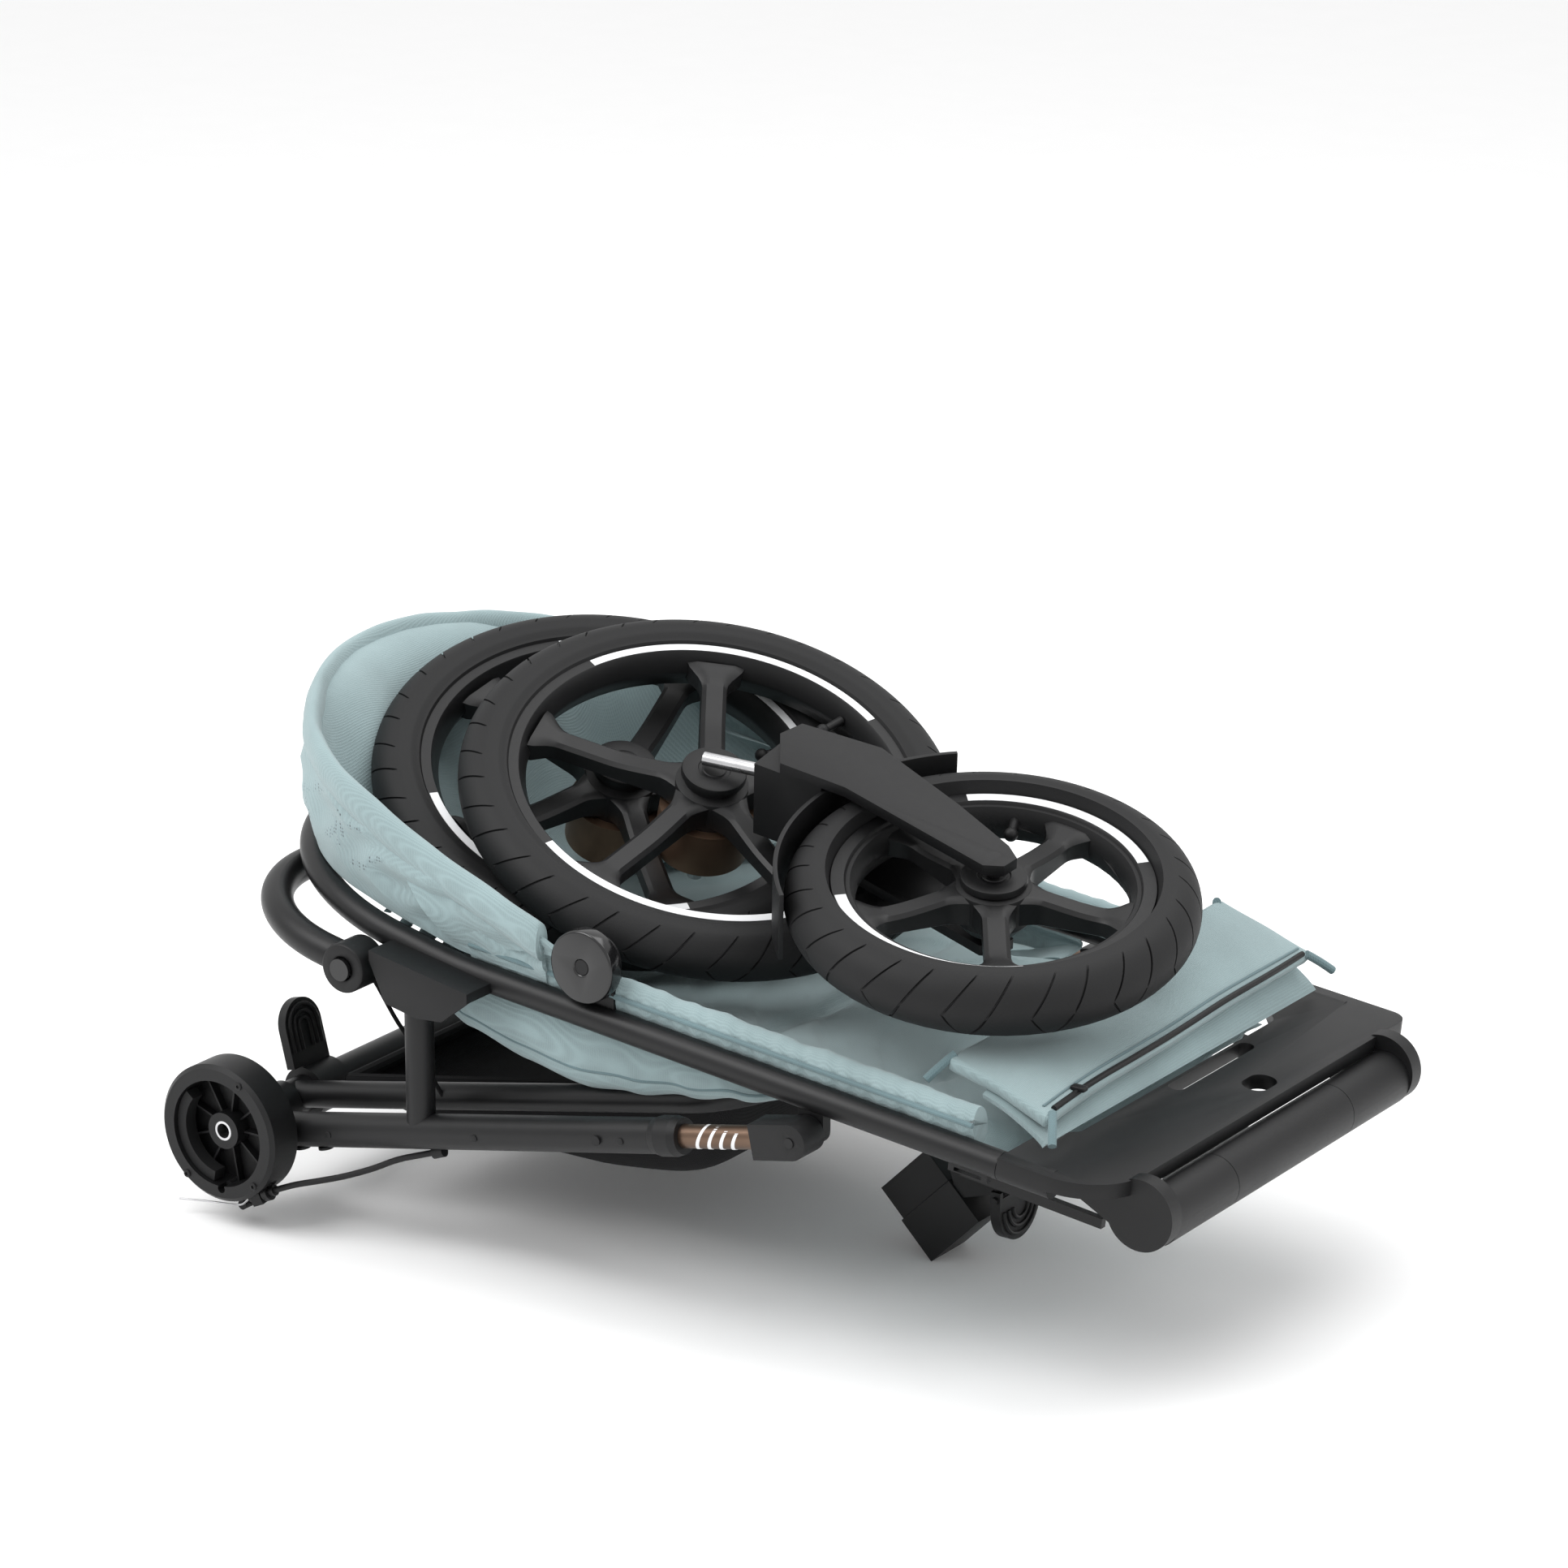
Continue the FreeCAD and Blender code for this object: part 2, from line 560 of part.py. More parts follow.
def make_pedal():
    base = leg_frame().Base
    inner_end = base + Vector(0, -size("pedal_inner"), 0)
    collar = cylinder("pedal_collar_skin", "pedal_collar", "pedal_collar_width",
                      across(inner_end, -1))
    lean = Rotation(Vector(0, 1, 0), -size("pedal_lean"))
    middle = base + Vector(0, -size("pedal_inner + pedal_width / 2"), 0)
    plate = Placement(middle, lean)
    foot = plate.multiply(Placement(Vector(0, 0, size("pedal_paddle_from")), Rotation()))
    paddle = block("pedal_paddle", "pedal_thickness", "pedal_width",
                   "pedal_height - pedal_width / 2 - pedal_paddle_from", foot)
    neck_middle = inner_end - Vector(0, size("pedal_collar_width / 2"), 0)
    neck = block("pedal_neck", "pedal_thickness", "pedal_collar_width",
                 "pedal_height - pedal_width / 2", Placement(neck_middle, lean))
    top = plate.multiply(Placement(
        Vector(-size("pedal_thickness") / 2, 0, size("pedal_height - pedal_width / 2")),
        Rotation(Vector(0, 1, 0), 90)))
    rounded = cylinder("pedal_top", "pedal_width / 2", "pedal_thickness", top)
    solid = fuse("pedal_solid", collar, neck, paddle, rounded)
    room = cylinder("pedal_room", "axle_outer + running_gap", "pedal_width", across(inner_end, -1))
    keep("brake_pedal", cut("brake_pedal", solid, room))


def make_basket():
    """Open fabric tub hung between the rails of its tube."""
    outline = [(672, -93), (735, -58), (678, 28), (655, 30), (620, 14), (530, -6),
               (372, -8), (366, -24), (440, -58)]
    half = size("basket_tube_half - basket_tube_outer - basket_gap")
    skin = size("basket_skin")
    points = [spot(back, -half, up) for back, up in outline]
    tub = extruded(points, Vector(0, 2 * half, 0))
    hollow = [(669, -89), (729, -57), (676, 34), (655, 42), (620, 40), (530, 20), (378, 12),
              (372, -23), (442, -54)]
    points = [spot(back, skin - half, up) for back, up in hollow]
    room = extruded(points, Vector(0, 2 * (half - skin), 0))
    keep("basket", feature("basket", tub.cut(room)))


def make_small_hardware():
    """Rivets and blanking plugs on the legs and under the ring."""
    frame = leg_frame()
    plugs = []
    for side, sign in SIDES:
        for number, reach in enumerate((42.0, 66.0)):
            place = frame.multiply(Placement(
                Vector(reach, sign * size("leg_half"), -size("leg_drop + leg_outer")),
                Rotation(Vector(1, 0, 0), 180)))
            plugs.append(cylinder("leg_plug_%s_%d" % (side, number), "arm_half_width",
                                  "pinch_radius / 2", place))
        place = frame.multiply(Placement(
            Vector(352.0, sign * size("leg_half + leg_outer"), -size("leg_drop")),
            Rotation(Vector(1, 0, 0), -90.0 * sign)))
        plugs.append(cylinder("leg_rivet_" + side, "pinch_radius", "pinch_radius / 2", place))
    solid = fuse("leg_plugs_all", *plugs)
    rooms = []
    for side, sign in SIDES:
        line = frame.multiply(Placement(Vector(0, sign * size("leg_half"), -size("leg_drop")),
                                        Rotation(Vector(0, 1, 0), 90)))
        rooms.append(cylinder("leg_plug_room_" + side, "leg_outer", "leg_reach", line))
    keep("leg_plugs", cut("leg_plugs", solid, fuse("leg_plug_rooms", *rooms)))


# ---------------------------------------------------------------- stanchions

def make_stanchions():
    frame = leg_frame()
    bars = []
    fittings = []
    bolts = []
    for side, sign in SIDES:
        start = "leg_reach - stanchion_engaged"
        end = size("pivot_reach - pivot_fitting_back")
        line = frame.multiply(Placement(
            Vector(size(start), sign * size("leg_half"), -size("leg_drop")),
            Rotation(Vector(0, 1, 0), 90)))
        length = "pivot_reach - pivot_fitting_back - leg_reach + stanchion_engaged"
        outer = cylinder("stanchion_skin_" + side, "stanchion_radius", length, line)
        inner = cylinder("stanchion_hollow_" + side, "stanchion_radius - stanchion_wall", length,
                         line)
        bars.append(cut("stanchion_" + side, outer, inner))
        outboard = size("leg_half + pivot_fitting_width / 2 - 1.5 * piece_gap")
        middle = frame.multiply(Placement(
            Vector(size("pivot_reach"), sign * outboard, -size("leg_drop")),
            Rotation(Vector(1, 0, 0), 90.0 * sign)))
        nose = cylinder("fitting_nose_" + side, "pivot_fitting_radius",
                        "pivot_fitting_width - piece_gap", middle)
        start_y = sign * size("leg_half - piece_gap / 2")
        tail = frame.multiply(Placement(
            Vector((end + size("pivot_reach")) / 2, start_y,
                   -size("leg_drop + pivot_fitting_radius")), Rotation()))
        body = block("fitting_body_" + side, "pivot_fitting_back",
                     "pivot_fitting_width - 3 * piece_gap", "2 * pivot_fitting_radius", tail)
        solid = fuse("fitting_solid_" + side, nose, body)
        hole = cylinder("fitting_hole_" + side, "pivot_bolt_radius", "3 * pivot_fitting_width",
                        across(pivot_at(sign, -size("pivot_fitting_width")), sign))
        fittings.append(cut("fitting_" + side, solid, hole))
        bolt_start = size("ring_half - lug_thickness / 2")
        bolt_length = "leg_half - ring_half + lug_thickness / 2 + pivot_fitting_width / 2"
        place = across(pivot_place() + Vector(0, sign * bolt_start, 0), sign)
        bolts.append(cylinder("pivot_bolt_" + side, "pivot_bolt_radius", bolt_length, place))
    keep("stanchions", group("stanchions", *bars))
    keep("pivot_fittings", group("pivot_fittings", *fittings))
    keep("pivot_bolts", group("pivot_bolts", *bolts))


def pivot_at(sign, outboard):
    return pivot_place() + Vector(0, sign * (size("leg_half") + outboard), 0)


# ---------------------------------------------------------------- seat ring

def ring_points():
    half = size("ring_half")
    back = [size("seam_back"), size("kink_back"), size("tail_back")]
    return ([spot(one, -half, ring_up(one)) for one in back]
            + [spot(one, half, ring_up(one)) for one in reversed(back)])


def ring_solid(radius):
    bends = [size("kink_bend"), size("tail_bend"), size("tail_bend"), size("kink_bend")]
    return swept(ring_points(), bends, radius)


def make_ring():
    outer = ring_solid(size("ring_outer"))
    inner = ring_solid(size("ring_outer - ring_wall"))
    keep("ring_tube", feature("ring_tube", outer.cut(inner)))
    lugs = []
    leaves = []
    pins = []
    loops = []
    for side, sign in SIDES:
        pivot = pivot_place()
        start = size("ring_half - lug_thickness / 2 ")
        place = across(Vector(pivot.x, sign * start, pivot.z), sign)
        width = size("lug_thickness")
        eye = Part.makeCylinder(size("lug_radius"), width)
        top = spot(size("origin_back") - pivot.x, 0, ring_up(size("origin_back") - pivot.x)).z
        arm = Part.makeBox(2 * size("lug_radius"), top - pivot.z, width,
                           Vector(-size("lug_radius"), 0, 0))
        if sign > 0:
            arm.rotate(Vector(), Vector(0, 0, 1), 180)
        hole = Part.makeCylinder(size("pivot_bolt_radius + running_gap"), width)
        lug = eye.fuse(arm).cut(hole)
        lug.Placement = place
        lugs.append(feature("lug_" + side, lug.cut(outer)))
        leaves.append(feature("leaf_" + side, leaf_shape(sign).cut(outer)))
        pin = cylinder("hub_pin_" + side, "hub_pin_radius", "hub_face - ring_half - hub_width / 2",
                       across(hub_at(size("ring_half"), sign), sign))
        pin_cut = cut("hub_pin_cut_" + side, pin, feature("hub_pin_room_" + side, outer))
        pins.append(pin_cut)
        loops.append(feature("loop_" + side, loop_shape(sign).cut(outer)))
    keep("pivot_lugs", group("pivot_lugs", *lugs))
    keep("leaf_brackets", group("leaf_brackets", *leaves))
    keep("hub_pins", group("hub_pins", *pins))
    keep("strap_loops", group("strap_loops", *loops))


def leaf_shape(sign):
    """Curved housing under the ring behind each hub: an outer skin hung from a top flange."""
    half = size("ring_half + ring_outer")
    outline = [(655, ring_up(655) - 6), (640, 50), (610, 44), (585, 46), (560, ring_up(560) - 6)]
    face = size("hub_face") - 5.0
    skin = extruded([spot(back, sign * face, up) for back, up in outline],
                    Vector(0, -sign * 4.0, 0))
    flange = [(655, ring_up(655) - 6), (560, ring_up(560) - 6), (560, ring_up(560) + 2),
              (655, ring_up(655) + 2)]
    top = extruded([spot(back, sign * face, up) for back, up in flange],
                   Vector(0, -sign * (face - half + 3.0), 0))
    return skin.fuse(top)


def loop_shape(sign):
    """Slotted strap loop under the ring near the footrest seam."""
    back = 128.0
    centre = spot(back, sign * size("ring_half"), ring_up(back) - size("ring_outer") - 2.5)
    turn = Rotation(Vector(0, 1, 0), ring_angle())
    outer = Part.makeBox(34, 8, 7, Vector(-17, -4, -3))
    inner = Part.makeBox(24, 10, 3, Vector(-12, -5, -2))
    loop = outer.cut(inner)
    loop.Placement = Placement(centre, turn)
    return loop


def hub_at(half, sign):
    return spot(size("hub_back"), sign * half, size("hub_up"))


# ---------------------------------------------------------------- footrest and roll

def board_wire():
    """Footrest in plan, origin on the roll: a soft near corner, a crisp far one, a rear notch."""
    half = size("board_half")
    rear = size("seam_back - piece_gap")
    front = size("board_front")
    notch = rear - size("board_notch")
    near = size("board_near_bend")
    far = size("board_far_bend")
    corners = [(rear, -half + 60), (rear, -half), (front, -half), (front, half), (rear, half),
               (rear, half - 60), (notch, half - 84), (notch, -half + 84), (rear, -half + 60)]
    bends = [1.0, near, far, 1.0, 8.0, 8.0, 8.0]
    path = round_path([Vector(-back, left, 0) for back, left in corners], bends)
    return path


def make_board():
    slope = ring_angle()
    thick = size("board_thickness")
    plate = Part.Face(board_wire()).extrude(Vector(0, 0, thick))
    for width, half, back in (("slot_width", "slot_half", "slot_back"),
                              ("oval_width", "oval_half", "oval_back")):
        plate = plate.cut(slot_shape(size(width), size(half), size(back), thick))
    plate.Placement = Placement(spot(0, 0, size("board_up")), Rotation(Vector(0, 1, 0), slope))
    seam = size("seam_back - piece_gap")
    for side, sign in SIDES:
        start = spot(seam, sign * size("ring_half"), ring_up(seam))
        way = Rotation(Vector(0, 1, 0), slope).multVec(Vector(1, 0, 0))
        rail = Part.makeCylinder(size("ring_outer"), size("rail_length"), start, way)
        plate = plate.fuse(rail)
    roll = Part.makeCylinder(size("roll_radius + roll_gap"), 2 * size("board_half"))
    roll.Placement = across(roll_axis(-size("board_half")))
    keep("footrest_board", feature("footrest_board", plate.cut(roll)))
    ends = []
    for side, sign in SIDES:
        ends.append(roll_segment("roll_end_" + side, sign))
        inner = spot(0, sign * size("roll_half - cheek_thickness"), 0)
        disc = cylinder("cheek_disc_" + side, "cheek_radius", "cheek_thickness",
                        across(inner, sign))
        wall = extruded([spot(back, sign * size("roll_half"), up) for back, up in cheek_outline()],
                        Vector(0, -sign * size("cheek_thickness"), 0))
        web = feature("cheek_wall_" + side, wall)
        solid = fuse("cheek_" + side, disc, web)
        ends.append(cut("cheek_trimmed_" + side, solid, parts["footrest_board"]))
    keep("roll_ends", fuse("roll_ends", *ends))
    make_links()


def cheek_outline():
    """Bracket from the footrest's underside down to the roll's end, as (back, up) pairs."""
    return [(4, 26), (4, 0), (24, -12), (70, 12), (86, 26)]


def roll_axis(left):
    """Point on the axis that the front arm folds about."""
    return spot(-size("roll_ahead"), left, -size("roll_drop"))


def slot_shape(width, half, back, depth):
    """Round-ended slot through the footrest, along Y."""
    shift = size("slot_shift")
    end = half - width / 2
    box = Part.makeBox(width, 2 * end, depth, Vector(-back - width / 2, shift - end, 0))
    first = Part.makeCylinder(width / 2, depth, Vector(-back, shift - end, 0))
    last = Part.makeCylinder(width / 2, depth, Vector(-back, shift + end, 0))
    return box.fuse(first).fuse(last)


def roll_segment(name, sign):
    """Fixed end of the front roll, with the bore that carries the middle's spigot."""
    start = roll_axis(sign * size("roll_middle_half + roll_gap"))
    length = "roll_half - cheek_thickness - roll_middle_half - roll_gap"
    outer = cylinder(name + "_skin", "roll_radius", length, across(start, sign))
    bore = cylinder(name + "_bore", "spigot_radius + running_gap", "spigot_length + roll_gap",
                    across(start, sign))
    return cut(name, outer, bore)


def make_links():
    """Thin bars under the footrest that tie the front arm to the fold."""
    bars = []
    for side, sign in SIDES:
        half = size("roll_half - cheek_thickness / 2")
        points = [spot(34, sign * half, -16), spot(156, sign * half, -2)]
        way = points[1] - points[0]
        bar = Part.makeBox(way.Length, 6, 8, Vector(0, -3, -4))
        bar.Placement = Placement(points[0], Rotation(Vector(1, 0, 0), way))
        bars.append(feature("link_" + side, bar))
    keep("front_links", group("front_links", *bars))


# ---------------------------------------------------------------- front arm

def socket_frame():
    """Frame at the middle of the socket's closed end, +Z towards its mouth."""
    tilt = math.radians(size("socket_tilt"))
    height = size("socket_depth / 2") * math.sin(tilt)
    end = Vector(size("origin_back - socket_back"), 0, height)
    return Placement(end, Rotation(Vector(0, 1, 0), -size("socket_tilt")))


def arm_bar(clearance):
    """The arm's square bar from the roll to the socket, grown all round by the clearance."""
    start = roll_axis(0.0)
    end = socket_frame().multVec(Vector(size("socket_depth / 2"), 0, size("socket_length / 2")))
    way = end - start
    bar = Part.makeBox(size("arm_depth") + 2 * clearance, size("arm_width") + 2 * clearance,
                       way.Length, Vector(-size("arm_depth / 2") - clearance,
                                          -size("arm_width / 2") - clearance, 0))
    bar.Placement = Placement(start, Rotation(Vector(0, 0, 1), way))
    return bar


def make_front_arm():
    spine = roll_axis(-size("roll_middle_half"))
    barrel = cylinder("roll_middle_barrel", "roll_radius", "2 * roll_middle_half", across(spine))
    spigots = []
    for side, sign in SIDES:
        start = roll_axis(sign * size("roll_middle_half"))
        spigots.append(cylinder("roll_spigot_" + side, "spigot_radius", "spigot_length",
                                across(start, sign)))
    keep("roll_middle", fuse("roll_middle", barrel, *spigots))
    frame = socket_frame()
    bar = arm_bar(0.0)
    core = Part.makeCylinder(size("roll_radius"), size("2 * roll_middle_half"))
    core.Placement = across(spine)
    room = Part.makeBox(size("socket_depth"), size("socket_width"), size("socket_length"),
                        Vector(-size("socket_depth / 2"), -size("socket_width / 2"), 0))
    room.Placement = frame
    keep("front_arm", feature("front_arm", bar.cut(core).cut(room)))
    lower = block("socket_lower", "socket_depth", "socket_width", "socket_length - socket_collar",
                  frame)
    lifted = frame.multiply(Placement(Vector(0, 0, size("socket_length - socket_collar")),
                                      Rotation()))
    upper = block("socket_upper", "socket_depth - 2 * socket_step",
                  "socket_width - 2 * socket_step", "socket_collar", lifted)
    solid = fuse("socket_solid", lower, upper)
    bore = cylinder("socket_bore", "stem_radius + stem_gap", "stem_length",
                    frame.multiply(Placement(Vector(0, 0, size("socket_length - stem_length")),
                                             Rotation())))
    keep("stem_socket", cut("stem_socket", solid, bore))
    make_lever()


def make_lever():
    """Ribbed release paddle that hangs in front of the socket."""
    middle = spot(size("lever_back"), 0, size("lever_up"))
    thick = size("lever_thickness")
    half = size("lever_width / 2")
    rise = size("lever_length") - half
    top = size("lever_length / 2")
    plate = Part.makeBox(thick, 2 * half, rise, Vector(-thick / 2, -half, top - rise))
    round_end = Part.makeCylinder(half, thick, Vector(-thick / 2, 0, top - rise), Vector(1, 0, 0))
    lever = plate.fuse(round_end)
    lever.Placement = Placement(middle, Rotation())
    pin_room = size("lever_pin_radius")
    pin = Part.makeCylinder(pin_room, 2 * half + 2 * pin_room,
                            Vector(0, -half - pin_room, top - size("lever_pin_drop")),
                            Vector(0, 1, 0))
    pin.Placement = lever.Placement
    room = arm_bar(size("lever_clearance"))
    keep("release_lever", feature("release_lever", lever.cut(room).fuse(pin)))


# ---------------------------------------------------------------- handlebar

def make_handlebar():
    half = size("handle_half")
    start = [size("hub_back") + 8.0, size("hub_up") + 1.0]
    rear = [size("handle_rear_back"), size("handle_rear_up")]
    points = [spot(start[0], -half, start[1]), spot(rear[0], -half, rear[1]),
              spot(rear[0], half, rear[1]), spot(start[0], half, start[1])]
    bend = size("handle_bend")
    bar = tube("handle_bar", points, [bend, bend], "handle_outer", "handle_wall")
    hubs = []
    rooms = []
    for side, sign in SIDES:
        inner = hub_at(size("hub_face - hub_width"), sign)
        body = cylinder("hub_body_" + side, "hub_radius", "hub_width", across(inner, sign))
        hole = cylinder("hub_pin_hole_" + side, "hub_pin_radius + running_gap",
                        "hub_width / 2 + piece_gap", across(inner, sign))
        pocket_start = hub_at(size("hub_face - button_length"), sign)
        pocket = cylinder("hub_pocket_" + side, "button_radius + running_gap", "button_length",
                          across(pocket_start, sign))
        hubs.append(cut("hub_" + side, body, fuse("hub_holes_" + side, hole, pocket)))
        rooms.append(cylinder("hub_room_" + side, "hub_radius", "hub_width", across(inner, sign)))
        button_start = hub_at(size("hub_face - button_length + button_travel + piece_gap"), sign)
        keep("hub_button_" + side, cylinder("hub_button_" + side, "button_radius",
                                            "button_length", across(button_start, sign)))
    keep("handlebar", cut("handlebar", bar, fuse("hub_rooms", *rooms)))
    keep("handle_hubs", group("handle_hubs", *hubs))


# ---------------------------------------------------------------- canopy

def bow_frame():
    """Frame on the canopy axis whose +X runs out along the folded bow's plane."""
    axis = spot(size("canopy_back"), 0, size("canopy_up"))
    return Placement(axis, Rotation(Vector(0, 1, 0), 180.0 + size("bow_angle")))


def bow_path(reach, half, bend, start):
    frame = bow_frame()
    flat = [Vector(start, -half, 0), Vector(reach, -half, 0), Vector(reach, half, 0),
            Vector(start, half, 0)]
    return [frame.multVec(point) for point in flat], [bend, bend]


def make_canopy():
    start = size("canopy_disc")
    points, bends = bow_path(size("bow_reach"), size("bow_half"), size("bow_bend"), start - 1.0)
    bow = feature("bow_bar", swept(points, bends, size("bow_tube")))
    mounts = []
    discs = []
    rooms = []
    outer = ring_solid(size("ring_outer"))
    for side, sign in SIDES:
        inboard = size("bow_half - canopy_disc_width / 2")
        place = across(spot(size("canopy_back"), sign * inboard, size("canopy_up")), sign)
        disc = cylinder("canopy_disc_" + side, "canopy_disc", "canopy_disc_width", place)
        hole = cylinder("canopy_hole_" + side, "canopy_pin + running_gap", "canopy_disc_width",
                        place)
        discs.append(cut("disc_" + side, disc, hole))
        rooms.append(cylinder("disc_room_" + side, "canopy_disc", "canopy_disc_width", place))
        mounts.append(feature("mount_" + side, mount_shape(sign, inboard).cut(outer)))
    keep("canopy_bow", cut("canopy_bow", bow, fuse("disc_rooms", *rooms)))
    keep("canopy_discs", group("canopy_discs", *discs))
    keep("canopy_mounts", group("canopy_mounts", *mounts))
    keep("canopy_fabric", feature("canopy_fabric", canopy_shape()))


def mount_shape(sign, inboard):
    """Saddle on the ring with a cheek and a pin that the canopy disc turns on."""
    gap = size("piece_gap")
    centre = spot(size("canopy_back"), 0, size("canopy_up"))
    low = spot(size("canopy_back"), 0, ring_up(size("canopy_back"))).z
    cheek_out = inboard - gap
    cheek_in = size("ring_half - ring_outer")
    width = cheek_out - cheek_in
    turned = Part.makeCylinder(20.0, width)
    turned.Placement = across(Vector(centre.x, sign * cheek_in, centre.z), sign)
    saddle = Part.makeBox(40.0, width, centre.z - low)
    near = min(sign * cheek_in, sign * cheek_out)
    saddle.translate(Vector(centre.x - 20.0, near, low))
    pin = Part.makeCylinder(size("canopy_pin"), size("canopy_disc_width") + gap - 1.0)
    pin.Placement = across(Vector(centre.x, sign * cheek_out, centre.z), sign)
    return turned.fuse(saddle).fuse(pin)


def canopy_shape():
    """Gathered canopy wall between the folded bow and the back of the seat ring."""
    skin = size("canopy_skin")
    gap = size("bow_tube") + 1.0
    plans = []
    for inset in (0.0, skin):
        half = size("bow_half") - gap - inset
        upper = canopy_section(size("bow_angle") - 1.5, size("bow_reach") - gap - inset, half)
        lower = canopy_section(size("bow_angle - canopy_sweep"), size("bow_reach") - 32.0 - inset,
                               half)
        plans.append(Part.makeLoft([upper, lower], True, True))
    return plans[0].cut(plans[1])


def canopy_section(angle, reach, half):
    """Closed U-shaped section in a plane through the canopy axis."""
    axis = spot(size("canopy_back"), 0, size("canopy_up"))
    frame = Placement(axis, Rotation(Vector(0, 1, 0), 180.0 + angle))
    start = 60.0
    bend = size("bow_bend") - 4.0
    flat = [Vector(start, -half, 0), Vector(reach, -half, 0), Vector(reach, half, 0),
            Vector(start, half, 0)]
    path = round_path([frame.multVec(point) for point in flat], [bend, bend])
    closing = Part.LineSegment(frame.multVec(flat[-1]), frame.multVec(flat[0])).toShape()
    return Part.Wire(path.Edges + [closing])


# ---------------------------------------------------------------- seat

def make_seat():
    """Padded hammock inside the ring, and the folded leg flap that lies on its front."""
    half = size("seat_half")
    side = [(102, 44), (170, 50), (330, 52), (470, 50), (560, 50), (640, 56), (780, 96),
            (795, 104), (795, 88), (780, 80), (640, 40), (560, 22), (470, 8), (430, 12),
            (400, 19), (350, 31), (325, 31), (250, 22), (150, 20), (102, 24)]
    swept_side = extruded([spot(back, -half, up) for back, up in side], Vector(0, 2 * half, 0))
    tail = size("tail_back") - 20.0
    plan = [(102, -half), (tail, -half), (tail, half), (102, half)]
    bend = size("tail_bend") - 20.0
    corners = [Vector(spot(back, 0, 0).x, left, 0) for back, left in plan]
    path = round_path(corners, [bend, bend])
    closing = Part.LineSegment(corners[3], corners[0]).toShape()
    mask = Part.Face(Part.Wire(path.Edges + [closing])).extrude(Vector(0, 0, 600))
    keep("seat_pad", feature("seat_pad", swept_side.common(mask)))
    flap = [(64, 37), (100, 52), (190, 54), (188, 84), (150, 82), (64, 60)]
    near = -160.0
    far = 196.0
    flap_solid = extruded([spot(back, near, up) for back, up in flap], Vector(0, far - near, 0))
    keep("leg_flap", feature("leg_flap", flap_solid))


# ---------------------------------------------------------------- wheels

def tyre(node, key, radius, section, bed):
    """Tyre turned from a round section that is cut off flat at the rim's bed."""
    body = doc.addObject("PartDesign::Body", node)
    plane = [item for item in body.Origin.OriginFeatures if item.Role == "XZ_Plane"][0]
    sketch = body.newObject("Sketcher::SketchObject", node + "_section")
    sketch.AttachmentSupport = [(plane, "")]
    sketch.MapMode = "FlatFace"
    middle = size(radius + " - " + section)
    reach = math.acos((size(bed) - middle) / size(section))
    circle = Part.Circle(Vector(middle, 0, 0), Vector(0, 0, 1), size(section))
    sketch.addGeometry(Part.ArcOfCircle(circle, -reach, reach))
    ends = [Vector(size(bed), sign * size(section) * math.sin(reach), 0) for sign in (1, -1)]
    sketch.addGeometry(Part.LineSegment(*ends))
    add_link(sketch, 0, 1)
    sketch.addConstraint(Sketcher.Constraint("Coincident", 1, 2, 0, 1))
    sketch.addConstraint(Sketcher.Constraint("Vertical", 1))
    sketch.addConstraint(Sketcher.Constraint("PointOnObject", 0, 3, -1))
    for text, geometry, corner in ((radius + " - " + section, 0, 3), (bed, 1, 1)):
        number = sketch.addConstraint(
            Sketcher.Constraint("DistanceX", -1, 1, geometry, corner, size(text)))
        sketch.setExpression("Constraints[%d]" % number, bound(text))
    number = sketch.addConstraint(Sketcher.Constraint("Radius", 0, size(section)))
    sketch.setExpression("Constraints[%d]" % number, bound(section))
    solid = body.newObject("PartDesign::Revolution", node + "_turn")
    solid.Profile = sketch
    solid.ReferenceAxis = (sketch, ["V_Axis"])
    solid.Angle = 360.0
    body.Tip = solid
    body.Placement = wheel_frame(key)
    keep(node, body)


def rim(node, key, outer, inner):
    """Rim band, five spokes and a hub barrel."""
    frame = wheel_frame(key)
    depth = "rim_width"
    low = frame.multiply(Placement(Vector(0, 0, -size(depth) / 2), Rotation()))
    band = cut(node + "_band", cylinder(node + "_band_skin", outer, depth, low),
               cylinder(node + "_band_hollow", inner, depth, low))
    barrel = cylinder(node + "_barrel", "hub_barrel", "2 * hub_barrel_half",
                      frame.multiply(Placement(Vector(0, 0, -size("hub_barrel_half")),
                                               Rotation())))
    pieces = [band, barrel]
    count = int(size("spoke_count"))
    length = "(" + outer + " + " + inner + ") / 2"
    for number in range(count):
        turn = Placement(Vector(), Rotation(Vector(0, 0, 1),
                                            WHEELS[key]["spin"] + number * 360.0 / count))
        place = frame.multiply(turn).multiply(
            Placement(Vector(size(length) / 2, 0, size("spoke_top - spoke_depth")), Rotation()))
        pieces.append(block("%s_spoke_%d" % (node, number), length, "spoke_width", "spoke_depth",
                            place))
    solid = fuse(node + "_solid", *pieces)
    radius = "stub_radius" if key != "front" else "fork_bolt_radius"
    hole = cylinder(node + "_hole", radius + " + running_gap", "4 * hub_barrel_half",
                    frame.multiply(Placement(Vector(0, 0, -2 * size("hub_barrel_half")),
                                             Rotation())))
    keep(node, cut(node, solid, hole))


